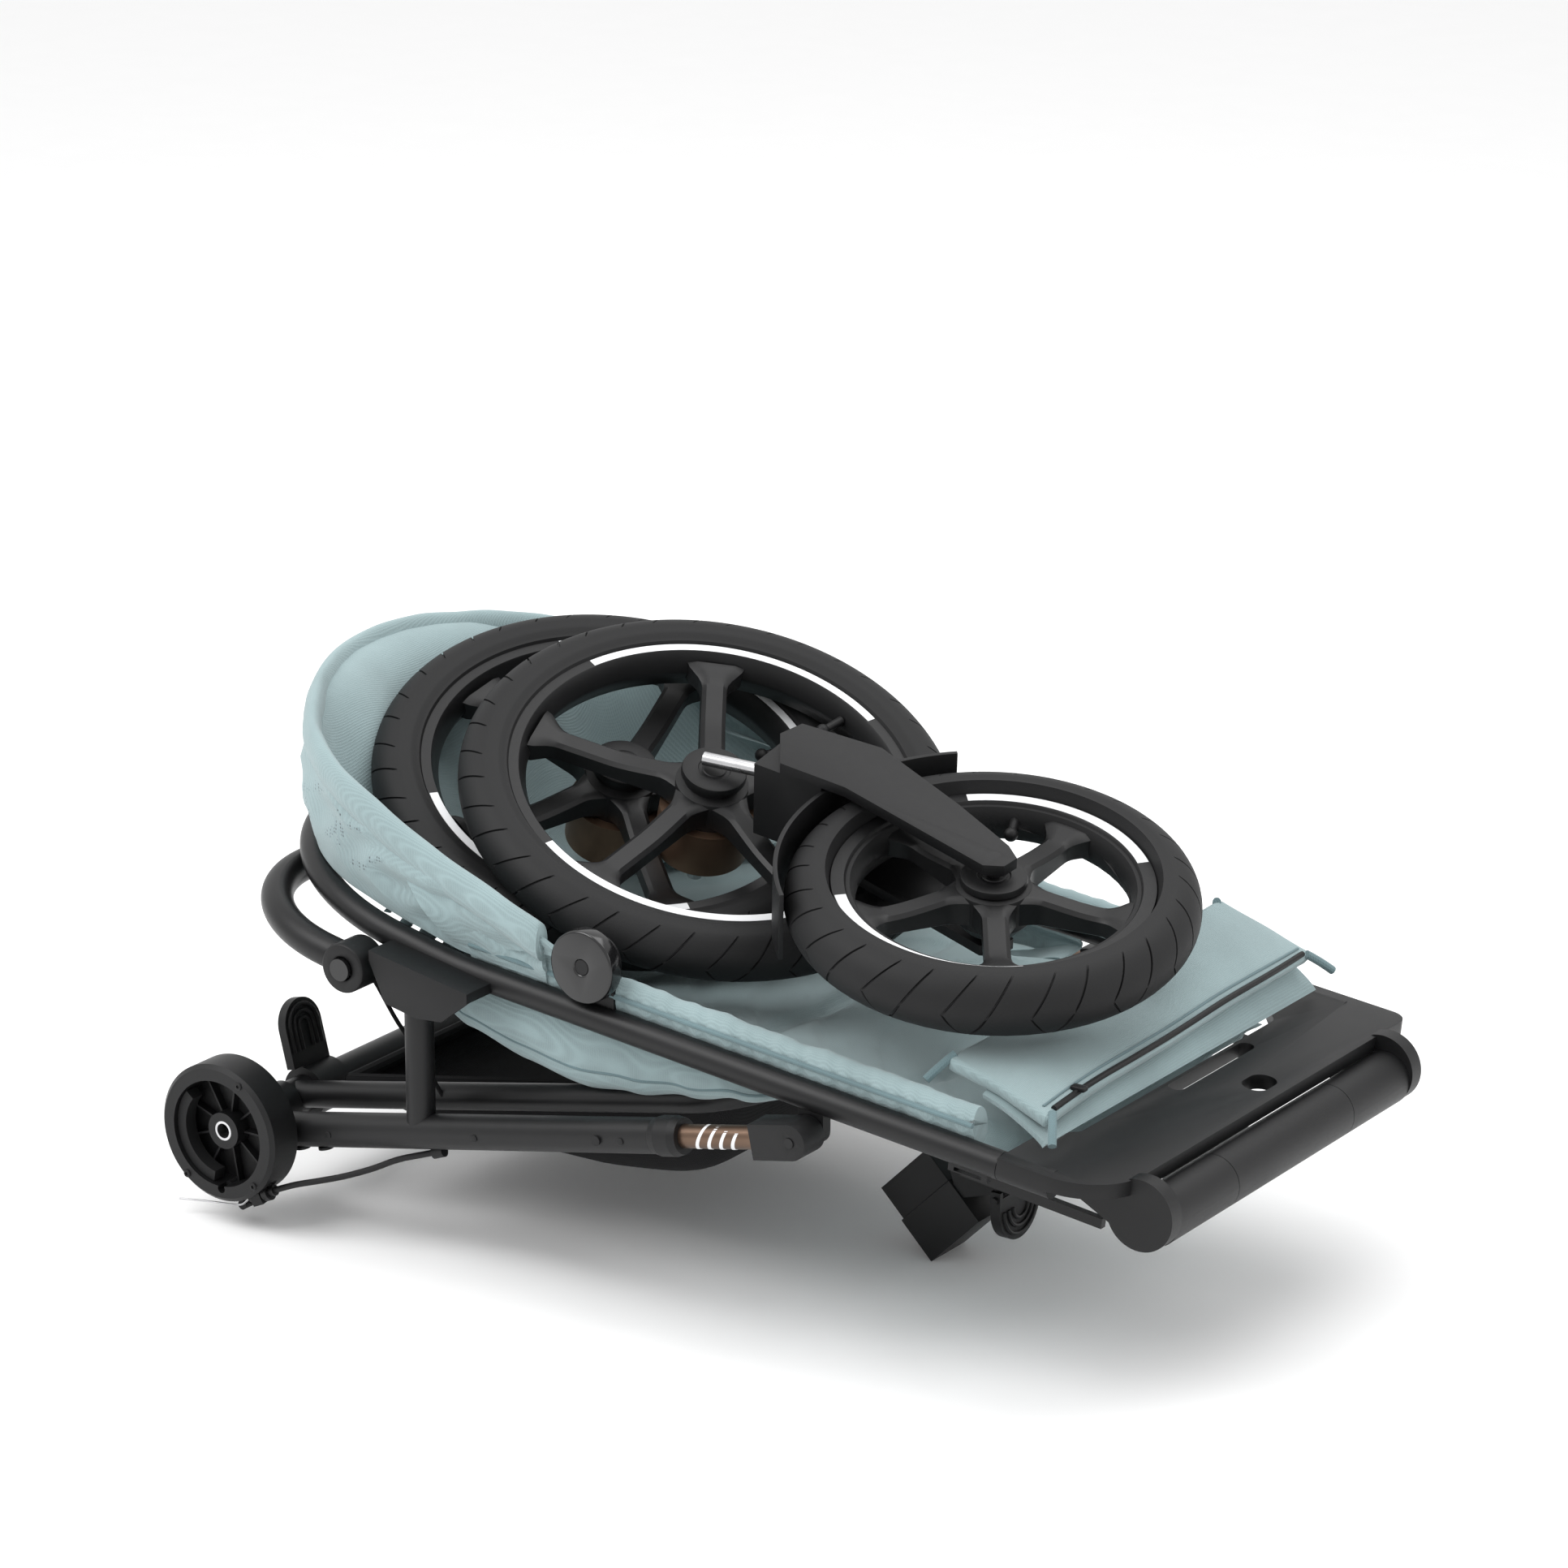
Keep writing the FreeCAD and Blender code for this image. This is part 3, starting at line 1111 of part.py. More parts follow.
def make_rear_wheels():
    for key in ("a", "b"):
        frame = wheel_frame(key)
        tyre("rear_tyre_" + key, key, "rear_radius", "rear_section", "rear_rim")
        rim("rear_rim_" + key, key, "rear_rim", "rear_rim_inner")
        low = frame.multiply(Placement(Vector(0, 0, -size("drum_end")), Rotation()))
        depth = "drum_end + spoke_top - spoke_depth"
        outer = cylinder("drum_skin_" + key, "drum_radius", depth, low)
        inner = cylinder("drum_hollow_" + key, "drum_radius - drum_wall",
                         "drum_end - hub_barrel_half", low)
        core = cylinder("drum_core_" + key, "hub_barrel", depth, low)
        spokes = doc.getObject("rear_rim_" + key + "_solid")
        room = fuse("drum_room_" + key, inner, core)
        hollowed = cut("drum_hollowed_" + key, outer, room)
        keep("rear_drum_" + key, cut("rear_drum_" + key, hollowed, spokes))
        start = frame.multiply(Placement(Vector(0, 0, -size("stub_end")), Rotation()))
        keep("rear_stub_" + key, cylinder("rear_stub_" + key, "stub_radius",
                                          "stub_end + hub_barrel_half", start))


def make_front_wheel():
    tyre("front_tyre", "front", "front_radius", "front_section", "front_rim")
    rim("front_rim", "front", "front_rim", "front_rim_inner")


def fork_outline():
    """Fork arm in the wheel's plane: a boss on the axle and a bar swept up to the crown."""
    reach = size("crown_reach")
    trail = size("trail")
    boss = size("fork_boss")
    return [(2, boss), (-60, 44), (-reach + 14, trail + 34), (-reach - 56, trail + 28),
            (-reach - 62, trail + 6), (-reach - 38, trail - 30), (-reach + 22, trail - 30),
            (-60, -4), (0, -boss), (14, -9), (16, 6)]


def make_fork():
    frame = wheel_frame("front")
    inner = size("front_section + fork_gap")
    pieces = []
    for low in (inner, -inner - size("fork_arm")):
        points = [frame.multVec(Vector(fx, fy, low)) for fx, fy in fork_outline()]
        lift = frame.Rotation.multVec(Vector(0, 0, size("fork_arm")))
        pieces.append(feature("fork_arm_%d" % len(pieces), extruded(points, lift)))
    middle = Placement(Vector(-size("crown_reach") - 31.0, size("trail"), -inner), Rotation())
    crown = block("fork_crown", "crown_length - 4 * running_gap", "crown_width",
                  "2 * front_section + 2 * fork_gap", frame.multiply(middle))
    solid = fuse("fork_solid", pieces[0], pieces[1], crown)
    holes = cylinder("fork_hole", "fork_bolt_radius", "4 * crown_width",
                     frame.multiply(Placement(Vector(0, 0, -2 * size("crown_width")), Rotation())))
    pin_room = cylinder("stem_room", "stem_radius", "stem_length + crown_length / 2",
                        stem_place())
    keep("front_fork", cut("front_fork", solid, fuse("fork_rooms", holes, pin_room)))
    keep("stem_pin", cylinder("stem_pin", "stem_radius", "stem_length + crown_length / 2",
                              stem_place()))
    bolt_half = inner + size("fork_arm")
    keep("front_axle_bolt", cylinder(
        "front_axle_bolt", "fork_bolt_radius", "2 * front_section + 2 * fork_gap + 2 * fork_arm",
        frame.multiply(Placement(Vector(0, 0, -bolt_half), Rotation()))))
    make_mudguard(frame)


def stem_place():
    """Placement of the stem pin's buried end, +Z out of the crown."""
    turn = math.radians(size("stem_lean"))
    way = Vector(-math.cos(turn), -math.sin(turn), 0)
    mouth = Vector(-size("crown_reach + crown_length"), size("trail + stem_aside"), 0)
    point = mouth - way * size("crown_length / 2")
    return wheel_frame("front").multiply(Placement(point, Rotation(Vector(0, 0, 1), way)))


def make_mudguard(frame):
    """Curved guard over the tyre on both sides of the crown."""
    start = 180.0 - size("guard_angle") / 2
    turn = Placement(Vector(0, 0, -size("guard_width") / 2), Rotation(Vector(0, 0, 1), start))
    outer = cylinder("guard_skin", "front_radius + guard_gap + guard_thickness", "guard_width",
                     frame.multiply(turn), "guard_angle")
    inner = cylinder("guard_room", "front_radius + guard_gap", "guard_width",
                     frame.multiply(turn))
    shell = cut("guard_shell", outer, inner)
    keep("fork_mudguard", cut("fork_mudguard", shell, doc.getObject("fork_solid")))


# ---------------------------------------------------------------- build and write

def build():
    make_legs()
    make_axle()
    make_basket_tube()
    make_posts()
    make_plates()
    make_brake_arms()
    make_cables()
    make_pedal()
    make_basket()
    make_small_hardware()
    make_stanchions()
    make_ring()
    make_board()
    make_front_arm()
    make_handlebar()
    make_canopy()
    make_seat()
    make_rear_wheels()
    make_front_wheel()
    make_fork()


def check_and_write():
    doc.recompute()
    for thing in doc.Objects:
        if "Invalid" in thing.State or "Error" in thing.State:
            raise ValueError("%s failed: %s" % (thing.Name, thing.State))
    os.makedirs("parts", exist_ok=True)
    for node, thing in parts.items():
        shape = thing.Shape
        if shape.isNull() or not shape.isValid() or not shape.Solids:
            raise ValueError(node + " has no valid solid")
    for node, thing in parts.items():
        thing.Shape.exportStep("parts/" + node + ".step")
    FreeCAD.Console.PrintMessage("%d sub-parts written\n" % len(parts))


build()
check_and_write()
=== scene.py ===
"""Folded jogging stroller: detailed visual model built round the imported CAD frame."""

import json
import logging
import math
from dataclasses import dataclass
from enum import Enum
from typing import Callable, Optional, Sequence

import bmesh
import bpy
from mathutils import Matrix, Vector, noise

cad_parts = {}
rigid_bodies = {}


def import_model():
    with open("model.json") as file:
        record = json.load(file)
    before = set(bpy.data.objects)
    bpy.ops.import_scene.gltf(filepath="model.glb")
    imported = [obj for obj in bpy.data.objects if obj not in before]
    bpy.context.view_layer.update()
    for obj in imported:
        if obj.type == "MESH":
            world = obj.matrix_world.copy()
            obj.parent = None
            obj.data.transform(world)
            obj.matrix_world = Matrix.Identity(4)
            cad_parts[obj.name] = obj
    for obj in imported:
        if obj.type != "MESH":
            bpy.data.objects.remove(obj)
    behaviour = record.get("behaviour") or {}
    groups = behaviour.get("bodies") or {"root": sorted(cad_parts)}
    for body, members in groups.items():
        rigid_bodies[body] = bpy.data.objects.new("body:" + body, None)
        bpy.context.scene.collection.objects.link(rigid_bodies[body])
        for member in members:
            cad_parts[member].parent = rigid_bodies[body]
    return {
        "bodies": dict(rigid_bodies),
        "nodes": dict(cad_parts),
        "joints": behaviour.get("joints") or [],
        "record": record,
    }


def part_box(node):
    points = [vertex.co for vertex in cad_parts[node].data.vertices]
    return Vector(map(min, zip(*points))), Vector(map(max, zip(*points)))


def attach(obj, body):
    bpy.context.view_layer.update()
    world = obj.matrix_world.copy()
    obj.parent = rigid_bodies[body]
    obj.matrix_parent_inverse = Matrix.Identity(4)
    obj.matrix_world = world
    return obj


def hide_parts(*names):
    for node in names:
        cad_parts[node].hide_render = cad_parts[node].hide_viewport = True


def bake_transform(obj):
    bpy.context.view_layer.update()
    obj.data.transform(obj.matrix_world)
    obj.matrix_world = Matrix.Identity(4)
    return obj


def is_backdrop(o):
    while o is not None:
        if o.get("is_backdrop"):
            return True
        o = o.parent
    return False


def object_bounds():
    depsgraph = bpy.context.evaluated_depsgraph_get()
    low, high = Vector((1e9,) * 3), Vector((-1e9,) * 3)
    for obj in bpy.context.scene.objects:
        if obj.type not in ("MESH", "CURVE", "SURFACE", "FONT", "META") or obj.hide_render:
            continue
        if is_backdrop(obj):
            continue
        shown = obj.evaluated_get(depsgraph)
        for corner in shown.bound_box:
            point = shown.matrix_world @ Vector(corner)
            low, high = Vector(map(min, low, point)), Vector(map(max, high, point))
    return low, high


LOG = logging.getLogger("stroller")
MM = 0.001
SMOOTH_ANGLE = math.radians(35.0)
RING_KINK = 600.0
RING_KINK_UP = 76.0
RING_FRONT_SLOPE = 0.102
RING_REAR_SLOPE = 0.2298
PEDAL_LEAN = math.radians(14.0)
Colour = tuple[float, float, float]
Profile = Sequence[tuple[float, float]]


class Side(Enum):
    """The two sides of the frame, by the sign of Y."""

    RIGHT = -1.0
    LEFT = 1.0


@dataclass(frozen=True)
class Finish:
    """A procedural surface finish, read from Object coordinates."""

    name: str
    colour: Colour
    roughness: float
    metallic: float = 0.0
    grain: float = 900.0
    bump: float = 0.15
    tint: float = 0.2
    patch: float = 14.0
    sheen: float = 0.0
    coat: float = 0.0
    gloss: float = 0.5
    threads: float = 0.0
    pores: float = 0.0

    def build(self) -> bpy.types.Material:
        """Make the node material.

        Returns:
            The material, ready to assign.
        """
        material = bpy.data.materials.new(self.name)
        material.use_nodes = True
        tree = material.node_tree
        shader = tree.nodes["Principled BSDF"]
        shader.inputs["Metallic"].default_value = self.metallic
        shader.inputs["Sheen Weight"].default_value = self.sheen
        shader.inputs["Sheen Roughness"].default_value = 0.5
        shader.inputs["Specular IOR Level"].default_value = self.gloss
        shader.inputs["Coat Weight"].default_value = self.coat
        shader.inputs["Coat Roughness"].default_value = 0.15
        place = tree.nodes.new("ShaderNodeTexCoord").outputs["Object"]
        cloud = self._noise(tree, place, self.patch, 4.0)
        ramp = tree.nodes.new("ShaderNodeValToRGB")
        low = [c * (1.0 - self.tint) for c in self.colour]
        high = [min(1.0, c * (1.0 + self.tint)) for c in self.colour]
        ramp.color_ramp.elements[0].position = 0.32
        ramp.color_ramp.elements[0].color = (*low, 1.0)
        ramp.color_ramp.elements[1].position = 0.68
        ramp.color_ramp.elements[1].color = (*high, 1.0)
        tree.links.new(cloud, ramp.inputs["Fac"])
        paint = ramp.outputs["Color"]
        height = self._noise(tree, place, self.grain, 2.0)
        if self.threads:
            weave = self._weave(tree, place)
            height = self._math(tree, "ADD", height, weave)
            paint = self._shade(tree, paint, weave, 0.82)
        if self.pores:
            hole = self._holes(tree, place)
            height = self._math(tree, "ADD", height, hole)
            paint = self._shade(tree, paint, hole, 0.35)
        tree.links.new(paint, shader.inputs["Base Color"])
        bump = tree.nodes.new("ShaderNodeBump")
        bump.inputs["Strength"].default_value = self.bump
        bump.inputs["Distance"].default_value = 0.0006
        tree.links.new(height, bump.inputs["Height"])
        tree.links.new(bump.outputs["Normal"], shader.inputs["Normal"])
        spread = tree.nodes.new("ShaderNodeMapRange")
        spread.inputs["To Min"].default_value = max(0.05, self.roughness - 0.08)
        spread.inputs["To Max"].default_value = min(1.0, self.roughness + 0.08)
        tree.links.new(cloud, spread.inputs["Value"])
        tree.links.new(spread.outputs["Result"], shader.inputs["Roughness"])
        return material

    @staticmethod
    def _noise(tree: bpy.types.NodeTree, place: bpy.types.NodeSocket, scale: float,
               detail: float) -> bpy.types.NodeSocket:
        """A noise texture's value at the given scale per metre.

        Args:
            tree: the material's nodes.
            place: the coordinates.
            scale: cells per metre.
            detail: octaves.

        Returns:
            The value's socket.
        """
        node = tree.nodes.new("ShaderNodeTexNoise")
        node.inputs["Scale"].default_value = scale
        node.inputs["Detail"].default_value = detail
        tree.links.new(place, node.inputs["Vector"])
        return node.outputs["Fac"]

    @staticmethod
    def _math(tree: bpy.types.NodeTree, kind: str, first: bpy.types.NodeSocket,
              second: bpy.types.NodeSocket) -> bpy.types.NodeSocket:
        """One math node over two values.

        Args:
            tree: the material's nodes.
            kind: the operation.
            first: its first value.
            second: its second value.

        Returns:
            The result's socket.
        """
        node = tree.nodes.new("ShaderNodeMath")
        node.operation = kind
        tree.links.new(first, node.inputs[0])
        tree.links.new(second, node.inputs[1])
        return node.outputs[0]

    @staticmethod
    def _shade(tree: bpy.types.NodeTree, paint: bpy.types.NodeSocket,
               amount: bpy.types.NodeSocket, dark: float) -> bpy.types.NodeSocket:
        """Darken a colour where the amount is low, down to the given share.

        Args:
            tree: the material's nodes.
            paint: the colour.
            amount: 0 is dark, 1 is the full colour.
            dark: the share left where the amount is 0.

        Returns:
            The colour's socket.
        """
        span = tree.nodes.new("ShaderNodeMapRange")
        span.inputs["To Min"].default_value = dark
        tree.links.new(amount, span.inputs["Value"])
        mix = tree.nodes.new("ShaderNodeVectorMath")
        mix.operation = "SCALE"
        tree.links.new(paint, mix.inputs[0])
        tree.links.new(span.outputs["Result"], mix.inputs["Scale"])
        return mix.outputs[0]

    def _weave(self, tree: bpy.types.NodeTree,
               place: bpy.types.NodeSocket) -> bpy.types.NodeSocket:
        """Crossed warp and weft threads.

        Args:
            tree: the material's nodes.
            place: the coordinates.

        Returns:
            The threads' height.
        """
        bands = []
        for direction in ("X", "Y"):
            wave = tree.nodes.new("ShaderNodeTexWave")
            wave.bands_direction = direction
            wave.inputs["Scale"].default_value = self.threads
            wave.inputs["Distortion"].default_value = 0.4
            tree.links.new(place, wave.inputs["Vector"])
            bands.append(wave.outputs["Fac"])
        return self._math(tree, "MAXIMUM", bands[0], bands[1])

    def _holes(self, tree: bpy.types.NodeTree,
               place: bpy.types.NodeSocket) -> bpy.types.NodeSocket:
        """Small dark openings of a net or perforated cloth.

        Args:
            tree: the material's nodes.
            place: the coordinates.

        Returns:
            1 on the cloth and 0 in an opening.
        """
        cells = tree.nodes.new("ShaderNodeTexVoronoi")
        cells.inputs["Scale"].default_value = self.pores
        cells.inputs["Randomness"].default_value = 0.0
        tree.links.new(place, cells.inputs["Vector"])
        span = tree.nodes.new("ShaderNodeMapRange")
        span.inputs["From Min"].default_value = 0.25
        span.inputs["From Max"].default_value = 0.38
        tree.links.new(cells.outputs["Distance"], span.inputs["Value"])
        return span.outputs["Result"]


FINISHES = {
    "painted_metal": Finish("painted_metal", (0.0075, 0.0075, 0.008), 0.38, grain=2600.0,
                            bump=0.2, gloss=0.3),
    "black_plastic": Finish("black_plastic", (0.0065, 0.0065, 0.007), 0.42, grain=3200.0,
                            bump=0.3, gloss=0.28),
    "gloss_plastic": Finish("gloss_plastic", (0.006, 0.006, 0.0065), 0.14, bump=0.02, coat=0.4,
                            gloss=0.35),
    "tyre_rubber": Finish("tyre_rubber", (0.009, 0.009, 0.0095), 0.6, grain=1500.0,
                          bump=0.25, gloss=0.28),
    "bright_steel": Finish("bright_steel", (0.58, 0.58, 0.59), 0.28, 1.0, bump=0.06),
    "bronze_metal": Finish("bronze_metal", (0.16, 0.105, 0.075), 0.34, 0.9, bump=0.05),
    "bronze_drum": Finish("bronze_drum", (0.24, 0.15, 0.1), 0.4, 0.85, bump=0.1),
    "sage_fabric": Finish("sage_fabric", (0.27, 0.36, 0.372), 0.92, bump=0.45, tint=0.08,
                          sheen=0.25, threads=260.0, grain=700.0),
    "sage_dark": Finish("sage_dark", (0.13, 0.2, 0.215), 0.92, bump=0.4, tint=0.12,
                        sheen=0.2, threads=260.0, grain=700.0),
    "sage_net": Finish("sage_net", (0.25, 0.33, 0.345), 0.92, bump=0.6, tint=0.08,
                       sheen=0.2, pores=330.0),
    "black_fabric": Finish("black_fabric", (0.007, 0.007, 0.0075), 0.93, bump=0.5,
                           sheen=0.02, gloss=0.15, threads=240.0),
    "white_strip": Finish("white_strip", (0.78, 0.79, 0.8), 0.45, bump=0.05, tint=0.03),
}
DARK_BOLTS = ("pivot_bolts", "front_axle_bolt", "hub_pins")


class Workshop:
    """Keeps the frame, its origin and the built materials, and finishes each new piece."""

    def __init__(self) -> None:
        """Load the frame and build every finish."""
        self.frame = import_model()
        low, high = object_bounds()
        self.cad_box = [list(low), list(high)]
        end_low, end_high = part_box("roll_ends")
        roll = (end_high.z - end_low.z) / 2
        self.origin = Vector((end_high.x - roll, 0.0, end_high.z - roll))
        self.paints = {key: finish.build() for key, finish in FINISHES.items()}
        self.joints = {j["name"]: j for j in self.frame["record"]["behaviour"]["joints"]}

    def at(self, back: float, left: float, up: float) -> Vector:
        """A point given in millimetres behind, left of and above the footrest roll."""
        return self.origin + Vector((-back, left, up)) * MM

    def dress_frame(self) -> None:
        """Give every CAD node its finish."""
        for part in self.frame["record"]["subparts"]:
            node = self.frame["nodes"][part["node"]]
            node.data.materials.clear()
            dark = part["node"] in DARK_BOLTS
            finish = "painted_metal" if dark else part["material_slot"]
            node.data.materials.append(self.paints[finish])
            for face in node.data.polygons:
                face.material_index = 0

    def piece(self, bm: bmesh.types.BMesh, name: str, finish: str, body: Optional[str],
              smooth: float = SMOOTH_ANGLE) -> bpy.types.Object:
        """Turn a bmesh into a finished piece that rides on a body.

        Args:
            bm: the shape, in metres in the frame; it is freed here.
            name: the piece's name.
            finish: a key of FINISHES.
            body: the CAD body it rides on, or None to leave it on no body.
            smooth: edges sharper than this stay crisp.

        Returns:
            The new object.
        """
        bmesh.ops.remove_doubles(bm, verts=bm.verts, dist=1e-6)
        bmesh.ops.recalc_face_normals(bm, faces=bm.faces)
        mesh = bpy.data.meshes.new(name)
        bm.to_mesh(mesh)
        bm.free()
        mesh.shade_smooth()
        mesh.set_sharp_from_angle(angle=smooth)
        mesh.materials.append(self.paints[finish])
        thing = bpy.data.objects.new(name, mesh)
        bpy.context.scene.collection.objects.link(thing)
        if body is not None:
            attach(thing, body)
        LOG.info("%s: %d faces on %s", name, len(mesh.polygons), body)
        return thing


def spun(profile: Profile, steps: int, turn: float = 2 * math.pi) -> bmesh.types.BMesh:
    """Spin a closed (radius, height) outline in millimetres about Z.

    Args:
        profile: the outline's corners in order; it closes on itself.
        steps: divisions of the turn.
        turn: the angle spun, a full turn by default.

    Returns:
        A bmesh in millimetres about the origin.
    """
    bm = bmesh.new()
    verts = [bm.verts.new((r, 0.0, z)) for r, z in profile]
    edges = [bm.edges.new((verts[i - 1], verts[i])) for i in range(len(verts))]
    whole = abs(turn - 2 * math.pi) < 1e-6
    bmesh.ops.spin(bm, geom=verts + edges, cent=(0, 0, 0), axis=(0, 0, 1), dvec=(0, 0, 0),
                   angle=turn, steps=steps, use_merge=whole, use_duplicate=False)
    if not whole:
        bmesh.ops.holes_fill(bm, edges=bm.edges[:], sides=0)
    return bm


def disc(radius: float, height: float, edge: float = 0.8, segments: int = 24,
         bore: float = 0.0) -> bmesh.types.BMesh:
    """A short round boss with a bevelled rim, in millimetres, standing on z = 0.

    Args:
        radius: outer radius.
        height: height of the top face.
        edge: bevel width.
        segments: divisions round it.
        bore: radius of a recess sunk in its top.

    Returns:
        A bmesh in millimetres.
    """
    bm = bmesh.new()
    bmesh.ops.create_cone(bm, cap_ends=True, segments=segments, radius1=radius,
                          radius2=radius, depth=height,
                          matrix=Matrix.Translation((0, 0, height / 2)))
    top = max((f for f in bm.faces if len(f.verts) > 4), key=lambda f: f.calc_center_median().z)
    rim = list(top.edges)
    if bore:
        bmesh.ops.inset_region(bm, faces=[top], thickness=radius - bore)
        bmesh.ops.inset_region(bm, faces=[top], thickness=bore * 0.08, depth=-height * 0.5)
    bmesh.ops.bevel(bm, geom=rim, offset=edge, segments=3, profile=0.5, affect="EDGES",
                    material=-1)
    return bm


def rounded_box(size: Vector, edge: float, segments: int = 3) -> bmesh.types.BMesh:
    """A box centred on the origin with all its edges rounded, in millimetres.

    Args:
        size: its three sides.
        edge: the rounding's size.
        segments: divisions of a rounding.

    Returns:
        A bmesh in millimetres.
    """
    bm = bmesh.new()
    bmesh.ops.create_cube(bm, size=1.0, matrix=Matrix.Diagonal((*size, 1.0)))
    bmesh.ops.bevel(bm, geom=bm.edges[:], offset=edge, segments=segments, profile=0.5,
                    affect="EDGES", material=-1)
    return bm


def sheet(across: int, along: int, shape: Callable[[float, float], Vector]) -> bmesh.types.BMesh:
    """A grid whose points are placed by a function of two shares.

    Args:
        across: divisions of the first share.
        along: divisions of the second share.
        shape: gives the point for shares from 0 to 1.

    Returns:
        A bmesh in metres.
    """
    bm = bmesh.new()
    bmesh.ops.create_grid(bm, x_segments=across, y_segments=along, size=0.5)
    for vert in bm.verts:
        vert.co = shape(vert.co.x + 0.5, vert.co.y + 0.5)
    return bm


def piping(points: Sequence[Vector], radius: float, sides: int = 10) -> bmesh.types.BMesh:
    """A round cord through a line of points, with closed ends, in metres.

    Args:
        points: the cord's centreline.
        radius: its radius.
        sides: divisions round it.

    Returns:
        A bmesh in metres.
    """
    bm = bmesh.new()
    rings = []
    for index, point in enumerate(points):
        way = points[min(index + 1, len(points) - 1)] - points[max(index - 1, 0)]
        turn = way.to_track_quat("Z", "Y").to_matrix().to_4x4()
        made = bmesh.ops.create_circle(bm, segments=sides, radius=radius,
                                       matrix=Matrix.Translation(point) @ turn)
        rings.append(list({e for v in made["verts"] for e in v.link_edges}))
    for first, second in zip(rings, rings[1:]):
        bmesh.ops.bridge_loops(bm, edges=first + second)
    bmesh.ops.holes_fill(bm, edges=bm.edges[:], sides=0)
    return bm


def thicken(bm: bmesh.types.BMesh, depth: float) -> None:
    """Give an open sheet a wall of even depth along its smooth normals.

    Args:
        bm: the sheet, changed in place.
        depth: the wall's thickness in metres.
    """
    bmesh.ops.recalc_face_normals(bm, faces=bm.faces)
    bm.normal_update()
    count = len(bm.verts)
    bm.verts.ensure_lookup_table()
    shifts = [vert.normal * -depth for vert in bm.verts]
    made = bmesh.ops.duplicate(bm, geom=bm.verts[:] + bm.edges[:] + bm.faces[:])
    bm.verts.ensure_lookup_table()
    for index in range(count):
        bm.verts[count + index].co = bm.verts[index].co + shifts[index]
    inner = [item for item in made["geom"] if isinstance(item, bmesh.types.BMFace)]
    bmesh.ops.reverse_faces(bm, faces=inner)
    bmesh.ops.bridge_loops(bm, edges=[edge for edge in bm.edges if edge.is_boundary])


def ease(value: float) -> float:
    """Smooth step from 0 to 1."""
    value = max(0.0, min(1.0, value))
    return value * value * (3.0 - 2.0 * value)


def blend_line(points: Sequence[Vector], share: float) -> Vector:
    """A point on the smooth curve through the given points.

    Args:
        points: the curve's points in order.
        share: place along it, from 0 to 1.

    Returns:
        The interpolated point.
    """
    last = len(points) - 1
    place = max(0.0, min(1.0, share)) * last
    index = min(int(place), last - 1)
    t = place - index
    a, b = points[max(index - 1, 0)], points[index]
    c, d = points[index + 1], points[min(index + 2, last)]
    return 0.5 * ((2 * b) + (c - a) * t + (2 * a - 5 * b + 4 * c - d) * t * t
                  + (3 * b - a - 3 * c + d) * t ** 3)


def ring_height(back: float) -> float:
    """Height of the seat ring's tube at a distance back, both in millimetres from the roll."""
    slope = RING_FRONT_SLOPE if back < RING_KINK else RING_REAR_SLOPE
    return RING_KINK_UP + (back - RING_KINK) * slope


